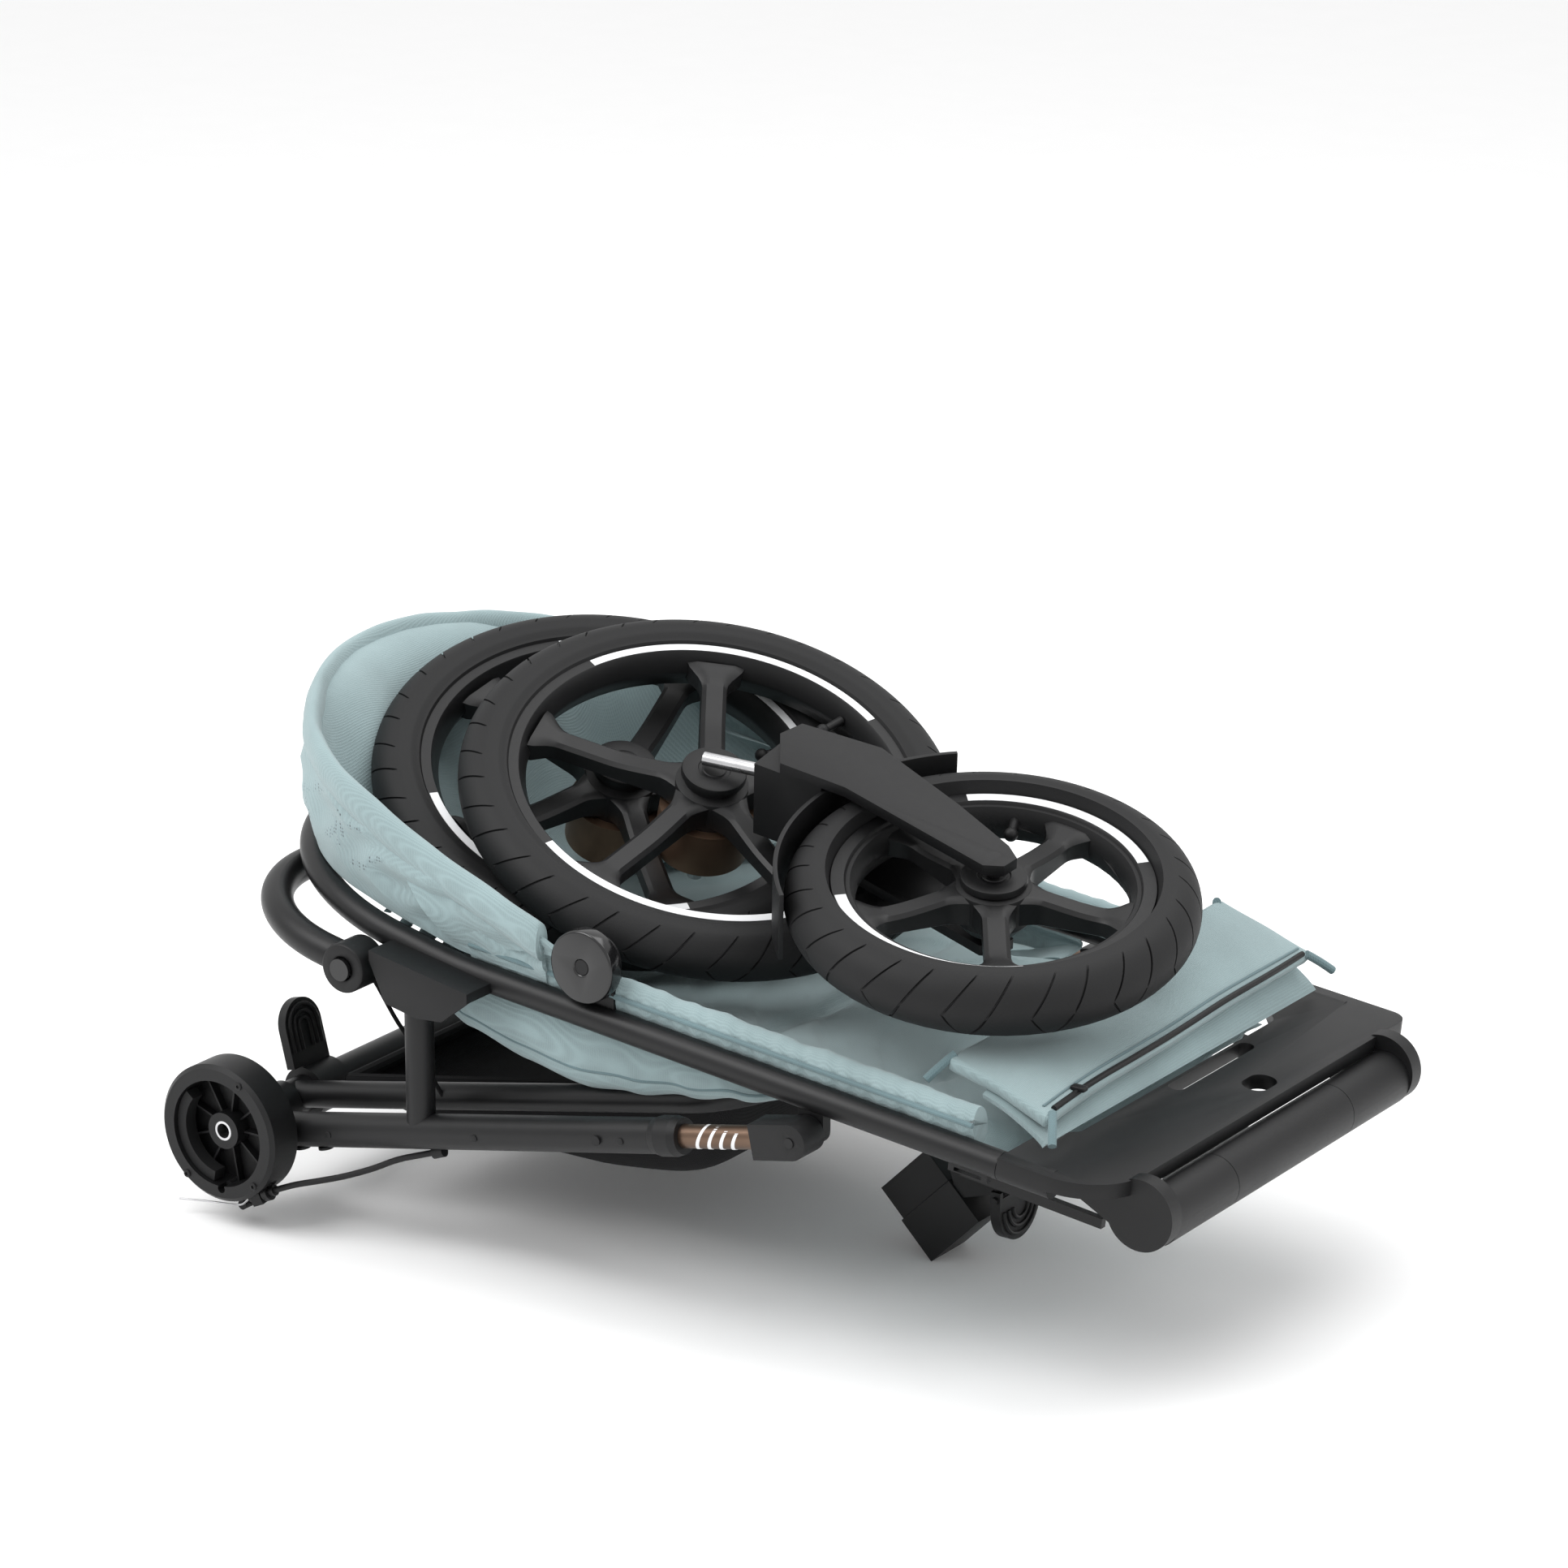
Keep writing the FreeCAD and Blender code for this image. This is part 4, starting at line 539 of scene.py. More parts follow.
@dataclass
class Studio:
    """Camera, lights and floor."""

    lens: float = 130.43
    place: tuple[float, float, float] = (2.37520, -3.47053, 1.73590)
    look: tuple[float, float, float] = (-0.5397, 0.7824, -0.3107)

    def build(self) -> None:
        """Set up the camera, the soft lights and the plain floor."""
        scene = bpy.context.scene
        scene.view_settings.view_transform = "Standard"
        data = bpy.data.cameras.new("camera")
        data.lens = self.lens
        data.sensor_width = 36.0
        camera = bpy.data.objects.new("camera", data)
        camera.location = self.place
        camera.rotation_euler = Vector(self.look).to_track_quat("-Z", "Y").to_euler()
        scene.collection.objects.link(camera)
        scene.camera = camera
        world = bpy.data.worlds.new("studio")
        world.use_nodes = True
        world.node_tree.nodes["Background"].inputs["Color"].default_value = (1, 1, 1, 1)
        world.node_tree.nodes["Background"].inputs["Strength"].default_value = 0.96
        scene.world = world
        self.lamp("key", (-1.2, -1.6, 2.6), 1.8, 52.0)
        self.lamp("top", (0.5, 0.8, 3.0), 2.4, 40.0)
        self.lamp("edge", (2.6, 0.6, 1.4), 1.2, 9.0)
        self.floor()

    @staticmethod
    def lamp(name: str, place: tuple[float, float, float], width: float, power: float) -> None:
        """One square area light aimed at the middle of the object.

        Args:
            name: the light's name.
            place: where it stands, in metres.
            width: its side in metres.
            power: its power in watts.
        """
        data = bpy.data.lights.new(name, "AREA")
        data.size = width
        data.energy = power
        lamp = bpy.data.objects.new(name, data)
        lamp.location = place
        aim = Vector((0.0, 0.0, 0.2)) - Vector(place)
        lamp.rotation_euler = aim.to_track_quat("-Z", "Y").to_euler()
        bpy.context.scene.collection.objects.link(lamp)

    @staticmethod
    def floor() -> None:
        """A wide pale floor, marked as not part of the object."""
        bm = bmesh.new()
        bmesh.ops.create_grid(bm, x_segments=1, y_segments=1, size=15.0)
        mesh = bpy.data.meshes.new("floor")
        bm.to_mesh(mesh)
        bm.free()
        material = Finish("floor", (0.93, 0.93, 0.93), 0.9, bump=0.0, tint=0.004).build()
        mesh.materials.append(material)
        floor = bpy.data.objects.new("floor", mesh)
        bpy.context.scene.collection.objects.link(floor)
        floor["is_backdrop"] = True


@dataclass
class Wheel:
    """A stowed wheel: tyre, rim with spokes, hub, reflective strips and valve."""

    shop: Workshop
    key: str
    body: str
    tyre_node: str
    rim_node: str
    normal: Vector
    radius: float = 199.5
    section: float = 23.5
    rim_out: float = 162.5
    face_in: float = 153.0
    floor_in: float = 146.0
    face_up: float = 17.5
    hub_up: float = 29.0
    grooves: int = 38
    spin: float = 0.0
    strips: tuple[tuple[float, float], ...] = ((69.5, 162.3), (-110.0, -18.0))
    valve_angle: Optional[float] = 78.0

    def __post_init__(self) -> None:
        """Find the wheel's own frame from its tyre node."""
        low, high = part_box(self.tyre_node)
        axis = self.normal.normalized()
        first = (Vector((1, 0, 0)) - axis * axis.x).normalized()
        second = axis.cross(first)
        turn = Matrix((first, second, axis)).transposed().to_4x4()
        self.place = Matrix.Translation((low + high) / 2) @ turn @ Matrix.Scale(MM, 4)

    def build(self) -> None:
        """Make every piece of the wheel."""
        self.tyre()
        self.rim()
        for number in range(5):
            self.spoke(number)
        self.hub()
        for number, (start, end) in enumerate(self.strips):
            self.strip(number, start, end)
        if self.valve_angle is not None:
            self.valve()

    def put(self, bm: bmesh.types.BMesh, name: str, finish: str,
            angle: float = 0.0) -> bpy.types.Object:
        """Carry a local shape to the wheel and finish it.

        Args:
            bm: the shape, in millimetres about the wheel's axis.
            name: the piece's name before the wheel's key.
            finish: a key of FINISHES.
            angle: degrees turned about the axis.

        Returns:
            The new piece.
        """
        turn = Matrix.Rotation(math.radians(angle), 4, "Z")
        bm.transform(self.place @ turn)
        return self.shop.piece(bm, f"{name}_{self.key}", finish, self.body)

    def tyre(self) -> None:
        """Torus with moulded ring lines and bent tread grooves."""
        rows = 44
        middle = self.radius - self.section
        outline = []
        for row in range(rows):
            angle = 2 * math.pi * row / rows
            outline.append((middle + self.section * math.cos(angle),
                            self.section * math.sin(angle)))
        offsets = self.groove_columns()
        per = len(offsets)
        bm = spun(outline, self.grooves * per)
        pitch = 2 * math.pi / self.grooves
        step = pitch / per
        for vert in bm.verts:
            x, y, z = vert.co
            reach = math.hypot(x, y)
            column = round((math.atan2(y, x) % (2 * math.pi)) / step) % (self.grooves * per)
            groove, index = divmod(column, per)
            offset, deep = offsets[index]
            phi = math.atan2(z, reach - middle)
            share = offset / (pitch * self.radius)
            slant = (1 - share) * self.slant(groove, phi) + share * self.slant(groove + 1, phi)
            angle = groove * pitch + (offset + slant) / self.radius
            size = self.section
            if deep and 0.14 < abs(phi) < 1.22:
                size -= 1.7
            if any(abs(abs(phi) - ring) < 0.05 for ring in (1.57, 2.0)):
                size -= 0.7
            far = middle + size * math.cos(phi)
            high = size * math.sin(phi)
            if far < self.rim_out + 0.6:
                high = max(2.6 - self.face_up, min(self.face_up - 2.6, high))
            vert.co = (far * math.cos(angle), far * math.sin(angle), high)
        tyre = self.put(bm, "tyre", "tyre_rubber")
        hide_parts(self.tyre_node)

    def groove_columns(self) -> list[tuple[float, bool]]:
        """Places across one pitch in millimetres, and whether each is in the groove."""
        pitch = 2 * math.pi * self.radius / self.grooves
        return [(0.0, True), (1.3, True), (1.7, False), (pitch * 0.27, False),
                (pitch * 0.5, False), (pitch * 0.74, False), (pitch - 0.5, False)]

    @staticmethod
    def slant(groove: int, phi: float) -> float:
        """How far a tread groove runs ahead of its middle.

        Args:
            groove: the groove's number.
            phi: angle round the tyre's section, in radians.

        Returns:
            The lead in millimetres.
        """
        if groove % 2 == 0:
            return 19.0 * min(1.4, abs(phi))
        return 16.0 * max(-1.4, min(1.4, phi))

    def rim(self) -> None:
        """Flat outer face, deep inner wall and back edge."""
        up, out, face, floor = self.face_up, self.rim_out, self.face_in, self.floor_in
        outline = [(out, up - 1.5), (out - 0.8, up), (face + 0.8, up), (face, up - 0.8),
                   (face - 2.5, up - 7), (floor, up - 16), (floor, 16 - up), (face - 2, 6 - up),
                   (face, -up), (out - 0.8, -up), (out, 1.5 - up), (out - 5, 8 - up),
                   (out - 5, up - 8)]
        rim = self.put(spun(outline, 160), "rim", "painted_metal")
        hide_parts(self.rim_node)

    def spoke(self, number: int) -> None:
        """One chunky spoke that flares into the rim and the hub.

        Args:
            number: 0 to 4.
        """
        bm = bmesh.new()
        bmesh.ops.create_grid(bm, x_segments=28, y_segments=6, size=0.5)
        bmesh.ops.solidify(bm, geom=bm.faces[:], thickness=1.0)
        start, end = 16.0, self.floor_in + 1.5
        tops = [v.co.z for v in bm.verts]
        middle = (max(tops) + min(tops)) / 2
        for vert in bm.verts:
            share = vert.co.x + 0.5
            place = start + (end - start) * share
            half = 10.0 + 9.0 * (1 - ease((place - start) / 26.0))
            half += 13.0 * ease((place - end + 26.0) / 26.0) ** 1.6
            side = vert.co.y * 2.0
            crown = 2.6 * max(0.0, (abs(side) - 0.62) / 0.38) ** 2
            top = 15.0 - 8.0 * ease((place - start) / 70.0)
            top += 4.0 * ease((place - end + 24.0) / 24.0)
            if vert.co.z > middle:
                height = top - crown
            else:
                height = -10.0 + crown
            vert.co = (place, side * half, height)
        self.put(bm, f"spoke_{number + 1}", "painted_metal", self.spin + 72.0 * number)

    def hub(self) -> None:
        """Turned hub with a raised cap and a groove round it."""
        top = self.hub_up
        outline = [(0.01, top), (9, top), (9.8, top - 0.8), (12.4, top - 0.8), (13.2, top),
                   (23.5, top), (25.5, top - 0.8), (26, top - 2.5), (26, top - 6),
                   (23, top - 7), (23, 17), (29, 14.5), (30, 12), (30, -12), (22, -22),
                   (0.01, -22)]
        self.put(spun(outline, 72), "hub", "black_plastic")

    def strip(self, number: int, start: float, end: float) -> None:
        """One white reflective strip along the rim's face.

        Args:
            number: counts from 0.
            start: first angle in degrees.
            end: last angle in degrees.
        """
        inner, outer = self.face_in + 1.2, self.rim_out - 1.6
        up = self.face_up - 0.2
        outline = [(inner, up), (outer, up), (outer, up + 0.5), (inner, up + 0.5)]
        bm = spun(outline, 40, math.radians(end - start))
        self.put(bm, f"strip_{number + 1}", "white_strip", start)

    def valve(self) -> None:
        """Valve stem and its ball-like cap, pointing at the hub."""
        bm = bmesh.new()
        reach = self.floor_in
        bmesh.ops.create_cone(bm, cap_ends=True, segments=16, radius1=4.0, radius2=3.2,
                              depth=18.0, matrix=Matrix.Translation((reach - 8, 0, 4))
                              @ Matrix.Rotation(math.radians(-90), 4, "Y"))
        bmesh.ops.create_uvsphere(bm, u_segments=20, v_segments=12, radius=5.6,
                                  matrix=Matrix.Translation((reach - 20, 0, 4)))
        self.put(bm, "valve", "black_plastic", self.valve_angle)


@dataclass
class SeatCloth:
    """Seat pad, side sleeves over the ring, sagging side panels and their piping."""

    shop: Workshop
    half: float = 199.0
    front: float = 104.0
    rear: float = 790.0
    seams: tuple[float, ...] = (235.0, 372.0, 505.0, 640.0)

    def build(self) -> None:
        """Make every cloth piece of the seat."""
        self.pad()
        for side in Side:
            self.sleeve(side)
            self.belly(side)

    def top(self, back: float, share: float) -> float:
        """Upper surface of the pad.

        Args:
            back: distance back from the roll in millimetres.
            share: share of the half width.

        Returns:
            Its height in millimetres above the roll.
        """
        sag = 15.0 * (1 - share ** 2)
        return ring_height(back) - 7.0 - sag

    def pad(self) -> None:
        """Stuffed seat pad, swelled by a cloth simulation and then sewn in channels."""
        bm = bmesh.new()
        bmesh.ops.create_grid(bm, x_segments=46, y_segments=26, size=0.5)
        bmesh.ops.solidify(bm, geom=bm.faces[:], thickness=1.0)
        tops = [v.co.z for v in bm.verts]
        middle = (max(tops) + min(tops)) / 2
        for vert in bm.verts:
            back = self.front + (self.rear - self.front) * (vert.co.x + 0.5)
            share = vert.co.y * 2.0
            narrow = 1.0 - 0.42 * ease((back - 640.0) / 150.0) ** 2
            rise = 3.0 if vert.co.z > middle else -3.0
            edge = 1.0 - max(0.0, abs(share) - 0.9) * 6.0
            up = self.top(back, share) + rise * edge - 4.0
            vert.co = self.shop.at(back, share * (self.half - 9.0) * narrow, up)
        pad = self.shop.piece(bm, "seat_cushion", "sage_fabric", "seat_frame")
        swell(pad, voxel=0.006, cap=0.009)
        for vert in pad.data.vertices:
            back = (self.shop.origin.x - vert.co.x) / MM
            near = min(abs(back - seam) for seam in self.seams)
            vert.co.z -= 0.006 * math.exp(-(near / 7.0) ** 2)
        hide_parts("seat_pad")

    def sleeve(self, side: Side) -> None:
        """Cloth sleeve round the side tube, puckered along its stitched edge.

        Args:
            side: which side.
        """
        sign = side.value
        word = side.name.lower()

        def shape(turn: float, along: float) -> Vector:
            """One point of the sheet.

            Args:
                turn: share of a turn round the tube.
                along: share along the tube.

            Returns:
                The point, in metres.
            """
            back = 128.0 + (590.0 - 128.0) * along
            angle = 2 * math.pi * turn
            pucker = noise.noise(Vector((back * 0.055, turn * 2.0, sign * 3.0)))
            radius = 10.0 + 1.2 * pucker + 0.5 * math.sin(back * 0.42) * math.cos(angle)
            left = sign * (201.0 + radius * math.cos(angle))
            lift = 18.0 + 1.5 * radius * math.sin(angle) + 0.12 * radius * math.cos(angle)
            return self.shop.at(back, left, ring_height(back) + lift)

        bm = sheet(28, 150, shape)
        bmesh.ops.remove_doubles(bm, verts=bm.verts, dist=1e-5)
        bmesh.ops.holes_fill(bm, edges=bm.edges[:], sides=0)
        sleeve = self.shop.piece(bm, f"side_sleeve_{word}", "sage_fabric", "seat_frame",
                                 math.radians(70))
        line = [self.shop.at(128.0 + 462.0 * i / 80, sign * 211.6,
                             ring_height(128.0 + 462.0 * i / 80) + 21.0) for i in range(81)]
        self.shop.piece(piping(line, 0.0021), f"sleeve_piping_{word}", "sage_dark", "seat_frame")

    def belly(self, side: Side) -> None:
        """Side panel that sags under the tube between the back and the middle of the seat.

        Args:
            side: which side.
        """
        sign = side.value
        word = side.name.lower()
        depths = [12.0, 40.0, 60.0, 73.0, 78.0, 66.0, 50.0, 32.0, 12.0]

        def shape(along: float, down: float) -> Vector:
            """One point of the sheet.

            Args:
                along: share along the panel.
                down: share from the top edge down.

            Returns:
                The point, in metres.
            """
            back = 700.0 - (700.0 - 290.0) * along
            index = along * (len(depths) - 1)
            first = min(int(index), len(depths) - 2)
            depth = depths[first] + (depths[first + 1] - depths[first]) * ease(index - first)
            fold = noise.noise(Vector((back * 0.018, down * 1.6, 5.0 + sign)))
            bulge = 6.0 * math.sin(math.pi * down) + 5.0 * fold * math.sin(math.pi * down)
            turned = max(0.0, down - 0.72) / 0.28
            left = 198.0 + bulge - 26.0 * turned ** 2
            sunk = depth * (down - 0.08 * turned)
            ripple = 1.2 * math.sin(back * 0.11) * math.exp(-((down - 0.1) / 0.12) ** 2)
            return self.shop.at(back, sign * (left + ripple), ring_height(back) - 4.0 - sunk)

        bm = sheet(120, 24, shape)
        thicken(bm, 0.0022)
        belly = self.shop.piece(bm, f"seat_side_{word}", "sage_fabric", "seat_frame",
                                math.radians(70))
        line = [shape(0.04 + 0.92 * i / 60, 0.62) + Vector((0, sign * 0.0012, 0))
                for i in range(61)]
        self.shop.piece(piping(line, 0.0016), f"seat_side_seam_{word}", "sage_dark",
                        "seat_frame")


def swell(thing: bpy.types.Object, voxel: float, cap: float) -> None:
    """Remesh a pad and blow it up a little with a cloth simulation.

    Args:
        thing: the pad, which is changed in place.
        voxel: remesh size in metres.
        cap: the most that a point may move, in metres.
    """
    bpy.context.view_layer.objects.active = thing
    remesh = thing.modifiers.new("remesh", "REMESH")
    remesh.mode = "VOXEL"
    remesh.voxel_size = voxel
    bake_modifiers(thing)
    start = [v.co.copy() for v in thing.data.vertices]
    cloth = thing.modifiers.new("cloth", "CLOTH")
    cloth.settings.use_pressure = True
    cloth.settings.uniform_pressure_force = 4.0
    cloth.settings.effector_weights.gravity = 0.0
    scene = bpy.context.scene
    for step in range(1, 21):
        scene.frame_set(step)
    bake_modifiers(thing)
    scene.frame_set(1)
    for vert, old in zip(thing.data.vertices, start):
        move = vert.co - old
        if move.length > cap:
            vert.co = old + move * (cap / move.length)
    thing.data.shade_smooth()
    thing.data.update()


def bake_modifiers(thing: bpy.types.Object) -> None:
    """Replace the piece's mesh by its evaluated one and drop its modifiers.

    Args:
        thing: the piece.
    """
    graph = bpy.context.evaluated_depsgraph_get()
    made = bpy.data.meshes.new_from_object(thing.evaluated_get(graph))
    old = thing.data
    paint = old.materials[0]
    thing.modifiers.clear()
    thing.data = made
    made.materials.clear()
    made.materials.append(paint)
    name = old.name
    bpy.data.meshes.remove(old)
    made.name = name


@dataclass
class LegFlap:
    """Zipped cloth flap over the front of the seat."""

    shop: Workshop

    def surface(self, along: float, across: float) -> Vector:
        """Outer face of the flap.

        Args:
            along: share from the rear edge to the front.
            across: share from right to left.

        Returns:
            The point, in metres.
        """
        rear = Vector((172.0, -178.0, 84.0)).lerp(Vector((146.0, 172.0, 112.0)), across)
        front = Vector((76.0, -190.0, 60.0)).lerp(Vector((73.0, 192.0, 76.0)), across)
        point = rear.lerp(front, along)
        wave = noise.noise(Vector((along * 1.7, across * 3.1, 2.0)))
        crown = 8.0 * math.sin(math.pi * along) * max(0.0, math.sin(math.pi * across)) ** 0.5
        return self.shop.at(point.x, point.y, point.z + crown + 3.5 * wave)

    def build(self) -> None:
        """Make the flap, its under layer, the zip and the corner ties."""
        bm = sheet(26, 60, self.surface)
        bmesh.ops.recalc_face_normals(bm, faces=bm.faces)
        bmesh.ops.solidify(bm, geom=bm.faces[:], thickness=0.012)
        bmesh.ops.bevel(bm, geom=[e for e in bm.edges if e.calc_face_angle(0.0) > 0.9],
                        offset=0.004, segments=3, profile=0.5, affect="EDGES", material=-1)
        flap = self.shop.piece(bm, "zip_flap", "sage_fabric", "seat_frame", math.radians(60))
        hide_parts("leg_flap")
        self.under_layer()
        self.zip()
        self.ties()

    def under_layer(self) -> None:
        """Second layer whose front edge shows under the flap."""

        def shape(along: float, across: float) -> Vector:
            """One point of the sheet.

            Args:
                along: share from the rear edge to the front.
                across: share from right to left.

            Returns:
                The point, in metres.
            """
            top = self.surface(0.35 + 0.6 * along, across)
            front = self.shop.at(75.0, -196.0 + 398.0 * across, 41.0)
            dip = 2.0 * math.sin(across * 21.0) * along
            point = top + Vector((0.0, 0.0, -13.0 - dip)) * MM
            return point.lerp(front, ease(along) ** 2)

        bm = sheet(16, 60, shape)
        thicken(bm, 0.004)
        layer = self.shop.piece(bm, "flap_under_layer", "sage_fabric", "seat_frame",
                                math.radians(70))

    def zip(self) -> None:
        """The closed zip as one plain cord, a stitch line beside it and a slider."""
        points = [self.surface(0.965, 0.03 + 0.94 * i / 70) + Vector((0, 0, 0.0008))
                  for i in range(71)]
        self.shop.piece(piping(points, 0.0024), "zip_teeth", "black_plastic", "seat_frame")
        edge = [self.surface(0.89, 0.02 + 0.96 * i / 70) + Vector((0, 0, 0.0002))
                for i in range(71)]
        self.shop.piece(piping(edge, 0.0011), "zip_stitch", "sage_dark", "seat_frame")
        slider = rounded_box(Vector((12, 7, 4)), 1.2)
        slider.transform(Matrix.Translation(self.surface(0.965, 0.12) + Vector((0, 0, 0.003)))
                         @ Matrix.Scale(MM, 4))
        self.shop.piece(slider, "zip_slider", "black_plastic", "seat_frame")

    def ties(self) -> None:
        """Short cloth tabs at the flap's corners."""
        for number, (along, across) in enumerate(((0.02, 0.02), (0.98, 0.02), (0.98, 0.98),
                                                  (0.02, 0.98))):
            spot = self.surface(along, across)
            out = Vector((along - 0.5, 0.8 * (across - 0.5) * 2, -0.55)).normalized()
            line = [spot + out * (0.004 * i) + Vector((0, 0, -0.00005 * i * i))
                    for i in range(8)]
            self.shop.piece(piping(line, 0.0034), f"flap_tie_{number + 1}", "sage_dark",
                            "seat_frame")


@dataclass
class Canopy:
    """Folded-back canopy: one bowl of cloth with a rim band, end flaps and net patches."""

    shop: Workshop

    def rim_points(self) -> list[Vector]:
        """Line of the canopy's rim.

        Returns:
            Its points in metres, from the right hub round the back to the left hub.
        """
        half = [(516, -217, 118), (566, -217, 138), (620, -215, 158), (676, -210, 182),
                (726, -200, 204), (768, -176, 220), (798, -140, 232), (824, -92, 241),
                (840, -34, 247)]
        right = [self.shop.at(*point) for point in half]
        left = [self.shop.at(b, -y, u) for b, y, u in reversed(half)]
        return right + left

    def surface(self, round_: float, down: float) -> Vector:
        """The cloth, up its outer wall and down inside.

        Args:
            round_: share along the rim, from the right hub to the left.
            down: share from the outer wall's foot over the rim to the middle.

        Returns:
            The point, in metres.
        """
        rim = blend_line(self.rim_points(), round_)
        back = (self.shop.origin.x - rim.x) / MM
        foot_back = min(back, 812.0)
        foot = self.shop.at(foot_back, rim.y / MM * 0.955, ring_height(foot_back) + 13.0)
        inside = self.shop.at(640.0 + 0.3 * max(0.0, back - 640.0), rim.y / MM * 0.15, 78.0)
        out = Vector((rim.x - inside.x, rim.y - inside.y, 0.0)).normalized()
        if down < 0.4:
            share = down / 0.4
            point = foot.lerp(rim, share)
            belly = math.sin(math.pi * share)
            fold = noise.noise(Vector((round_ * 11.0, share * 1.6, 1.0)))
            crease = abs(noise.noise(Vector((round_ * 17.0, share * 2.5 + round_ * 9.0, 7.0))))
            return point + out * (0.006 * belly + (0.009 * fold - 0.012 * crease) * belly)
        share = (down - 0.4) / 0.6
        rear = ease((back - 720.0) / 110.0)
        steep = 1.0 - (1.0 - share) ** 10
        drop = steep + (ease(share) - steep) * rear
        point = rim.lerp(inside, share)
        point.z = rim.z - (rim.z - inside.z) * drop
        ripple = noise.noise(Vector((round_ * 7.0, share * 3.0, 12.0)))
        return point + Vector((0, 0, 0.004 * ripple * math.sin(math.pi * share)))

    def build(self) -> None:
        """Make the bowl, its rim band, end flaps and patches."""
        bm = sheet(170, 70, self.surface)
        thicken(bm, 0.0035)
        bowl = self.shop.piece(bm, "canopy_bowl", "sage_fabric", None, math.radians(75))
        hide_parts("canopy_fabric")
        hub = Vector(self.shop.joints["canopy_open"]["pos_m"])
        self.shop.at(850.0, 0.0, 247.0)
        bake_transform(bowl)
        self.band()
        for side in Side:
            self.end_flap(side)

    def band(self) -> None:
        """Wide hem folded over the bow along the rim."""

        def shape(turn: float, along: float) -> Vector:
            """One point of the sheet.

            Args:
                turn: share of a turn round the hem.
                along: share along the rim, from the right hub to the left.

            Returns:
                The point, in metres.
            """
            rim = blend_line(self.rim_points(), along)
            ahead = blend_line(self.rim_points(), min(1.0, along + 0.01))
            behind = blend_line(self.rim_points(), max(0.0, along - 0.01))
            way = (ahead - behind).normalized()
            out = way.cross(Vector((0, 0, 1))).normalized()
            angle = 2 * math.pi * turn
            wide = 7.5 + 1.2 * noise.noise(Vector((along * 40.0, turn * 2.0, 0.0)))
            deep = 15.0 + 1.5 * noise.noise(Vector((along * 24.0, turn * 2.0, 4.0)))
            return rim + (out * (wide * math.cos(angle))
                          + Vector((0, 0, 1)) * (deep * math.sin(angle) - 4.0)) * MM

        bm = sheet(24, 180, shape)
        bmesh.ops.remove_doubles(bm, verts=bm.verts, dist=1e-5)
        bmesh.ops.holes_fill(bm, edges=bm.edges[:], sides=0)
        band = self.shop.piece(bm, "canopy_rim_band", "sage_fabric", "canopy",
                               math.radians(70))
        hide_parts("canopy_bow")

    def end_flap(self, side: Side) -> None:
        """Tapered end of the cloth that runs down to the canopy hub.

        Args:
            side: which side.
        """
        sign = side.value
        word = side.name.lower()

        def shape(along: float, across: float) -> Vector:
            """One point of the sheet.

            Args:
                along: share along the flap, away from the hub.
                across: share from the lower edge to the upper.

            Returns:
                The point, in metres.
            """
            first = Vector((492.0, 217.0, 106.0)).lerp(Vector((548.0, 217.0, 136.0)), across)
            last = Vector((606.0, 211.0, 96.0)).lerp(Vector((664.0, 211.0, 156.0)), across)
            point = first.lerp(last, along)
            puff = 7.0 * math.sin(math.pi * across) * (0.4 + 0.6 * along)
            puff += 4.0 * noise.noise(Vector((along * 2.5, across * 3.0, 9.0 + sign)))
            return self.shop.at(point.x, sign * (point.y + puff - 4.0), point.z)

        bm = sheet(30, 26, shape)
        thicken(bm, 0.004)
        flap = self.shop.piece(bm, f"canopy_end_{word}", "sage_fabric", "seat_frame",
                               math.radians(70))
        self.net(side)

    def net(self, side: Side) -> None:
        """Net window sewn on the bowl's side wall.

        Args:
            side: which side.
        """
        start, end = (0.17, 0.3) if side is Side.RIGHT else (0.7, 0.83)

        def shape(along: float, down: float) -> Vector:
            """One point of the sheet.

            Args:
                along: share along the window.
                down: share from the upper edge down.

            Returns:
                The point, in metres.
            """
            point = self.surface(start + (end - start) * along, 0.3 - 0.2 * down)
            middle = self.shop.at(640.0, 0.0, 118.0)
            out = Vector((point.x - middle.x, point.y - middle.y, 0.0)).normalized()
            return point + out * 0.0035

        bm = sheet(40, 16, shape)
        thicken(bm, 0.0015)
        net = self.shop.piece(bm, f"canopy_net_{side.name.lower()}", "sage_net", None,
                              math.radians(75))
        hub = Vector(self.shop.joints["canopy_open"]["pos_m"])
        self.shop.at(850.0, 0.0, 247.0)
        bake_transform(net)


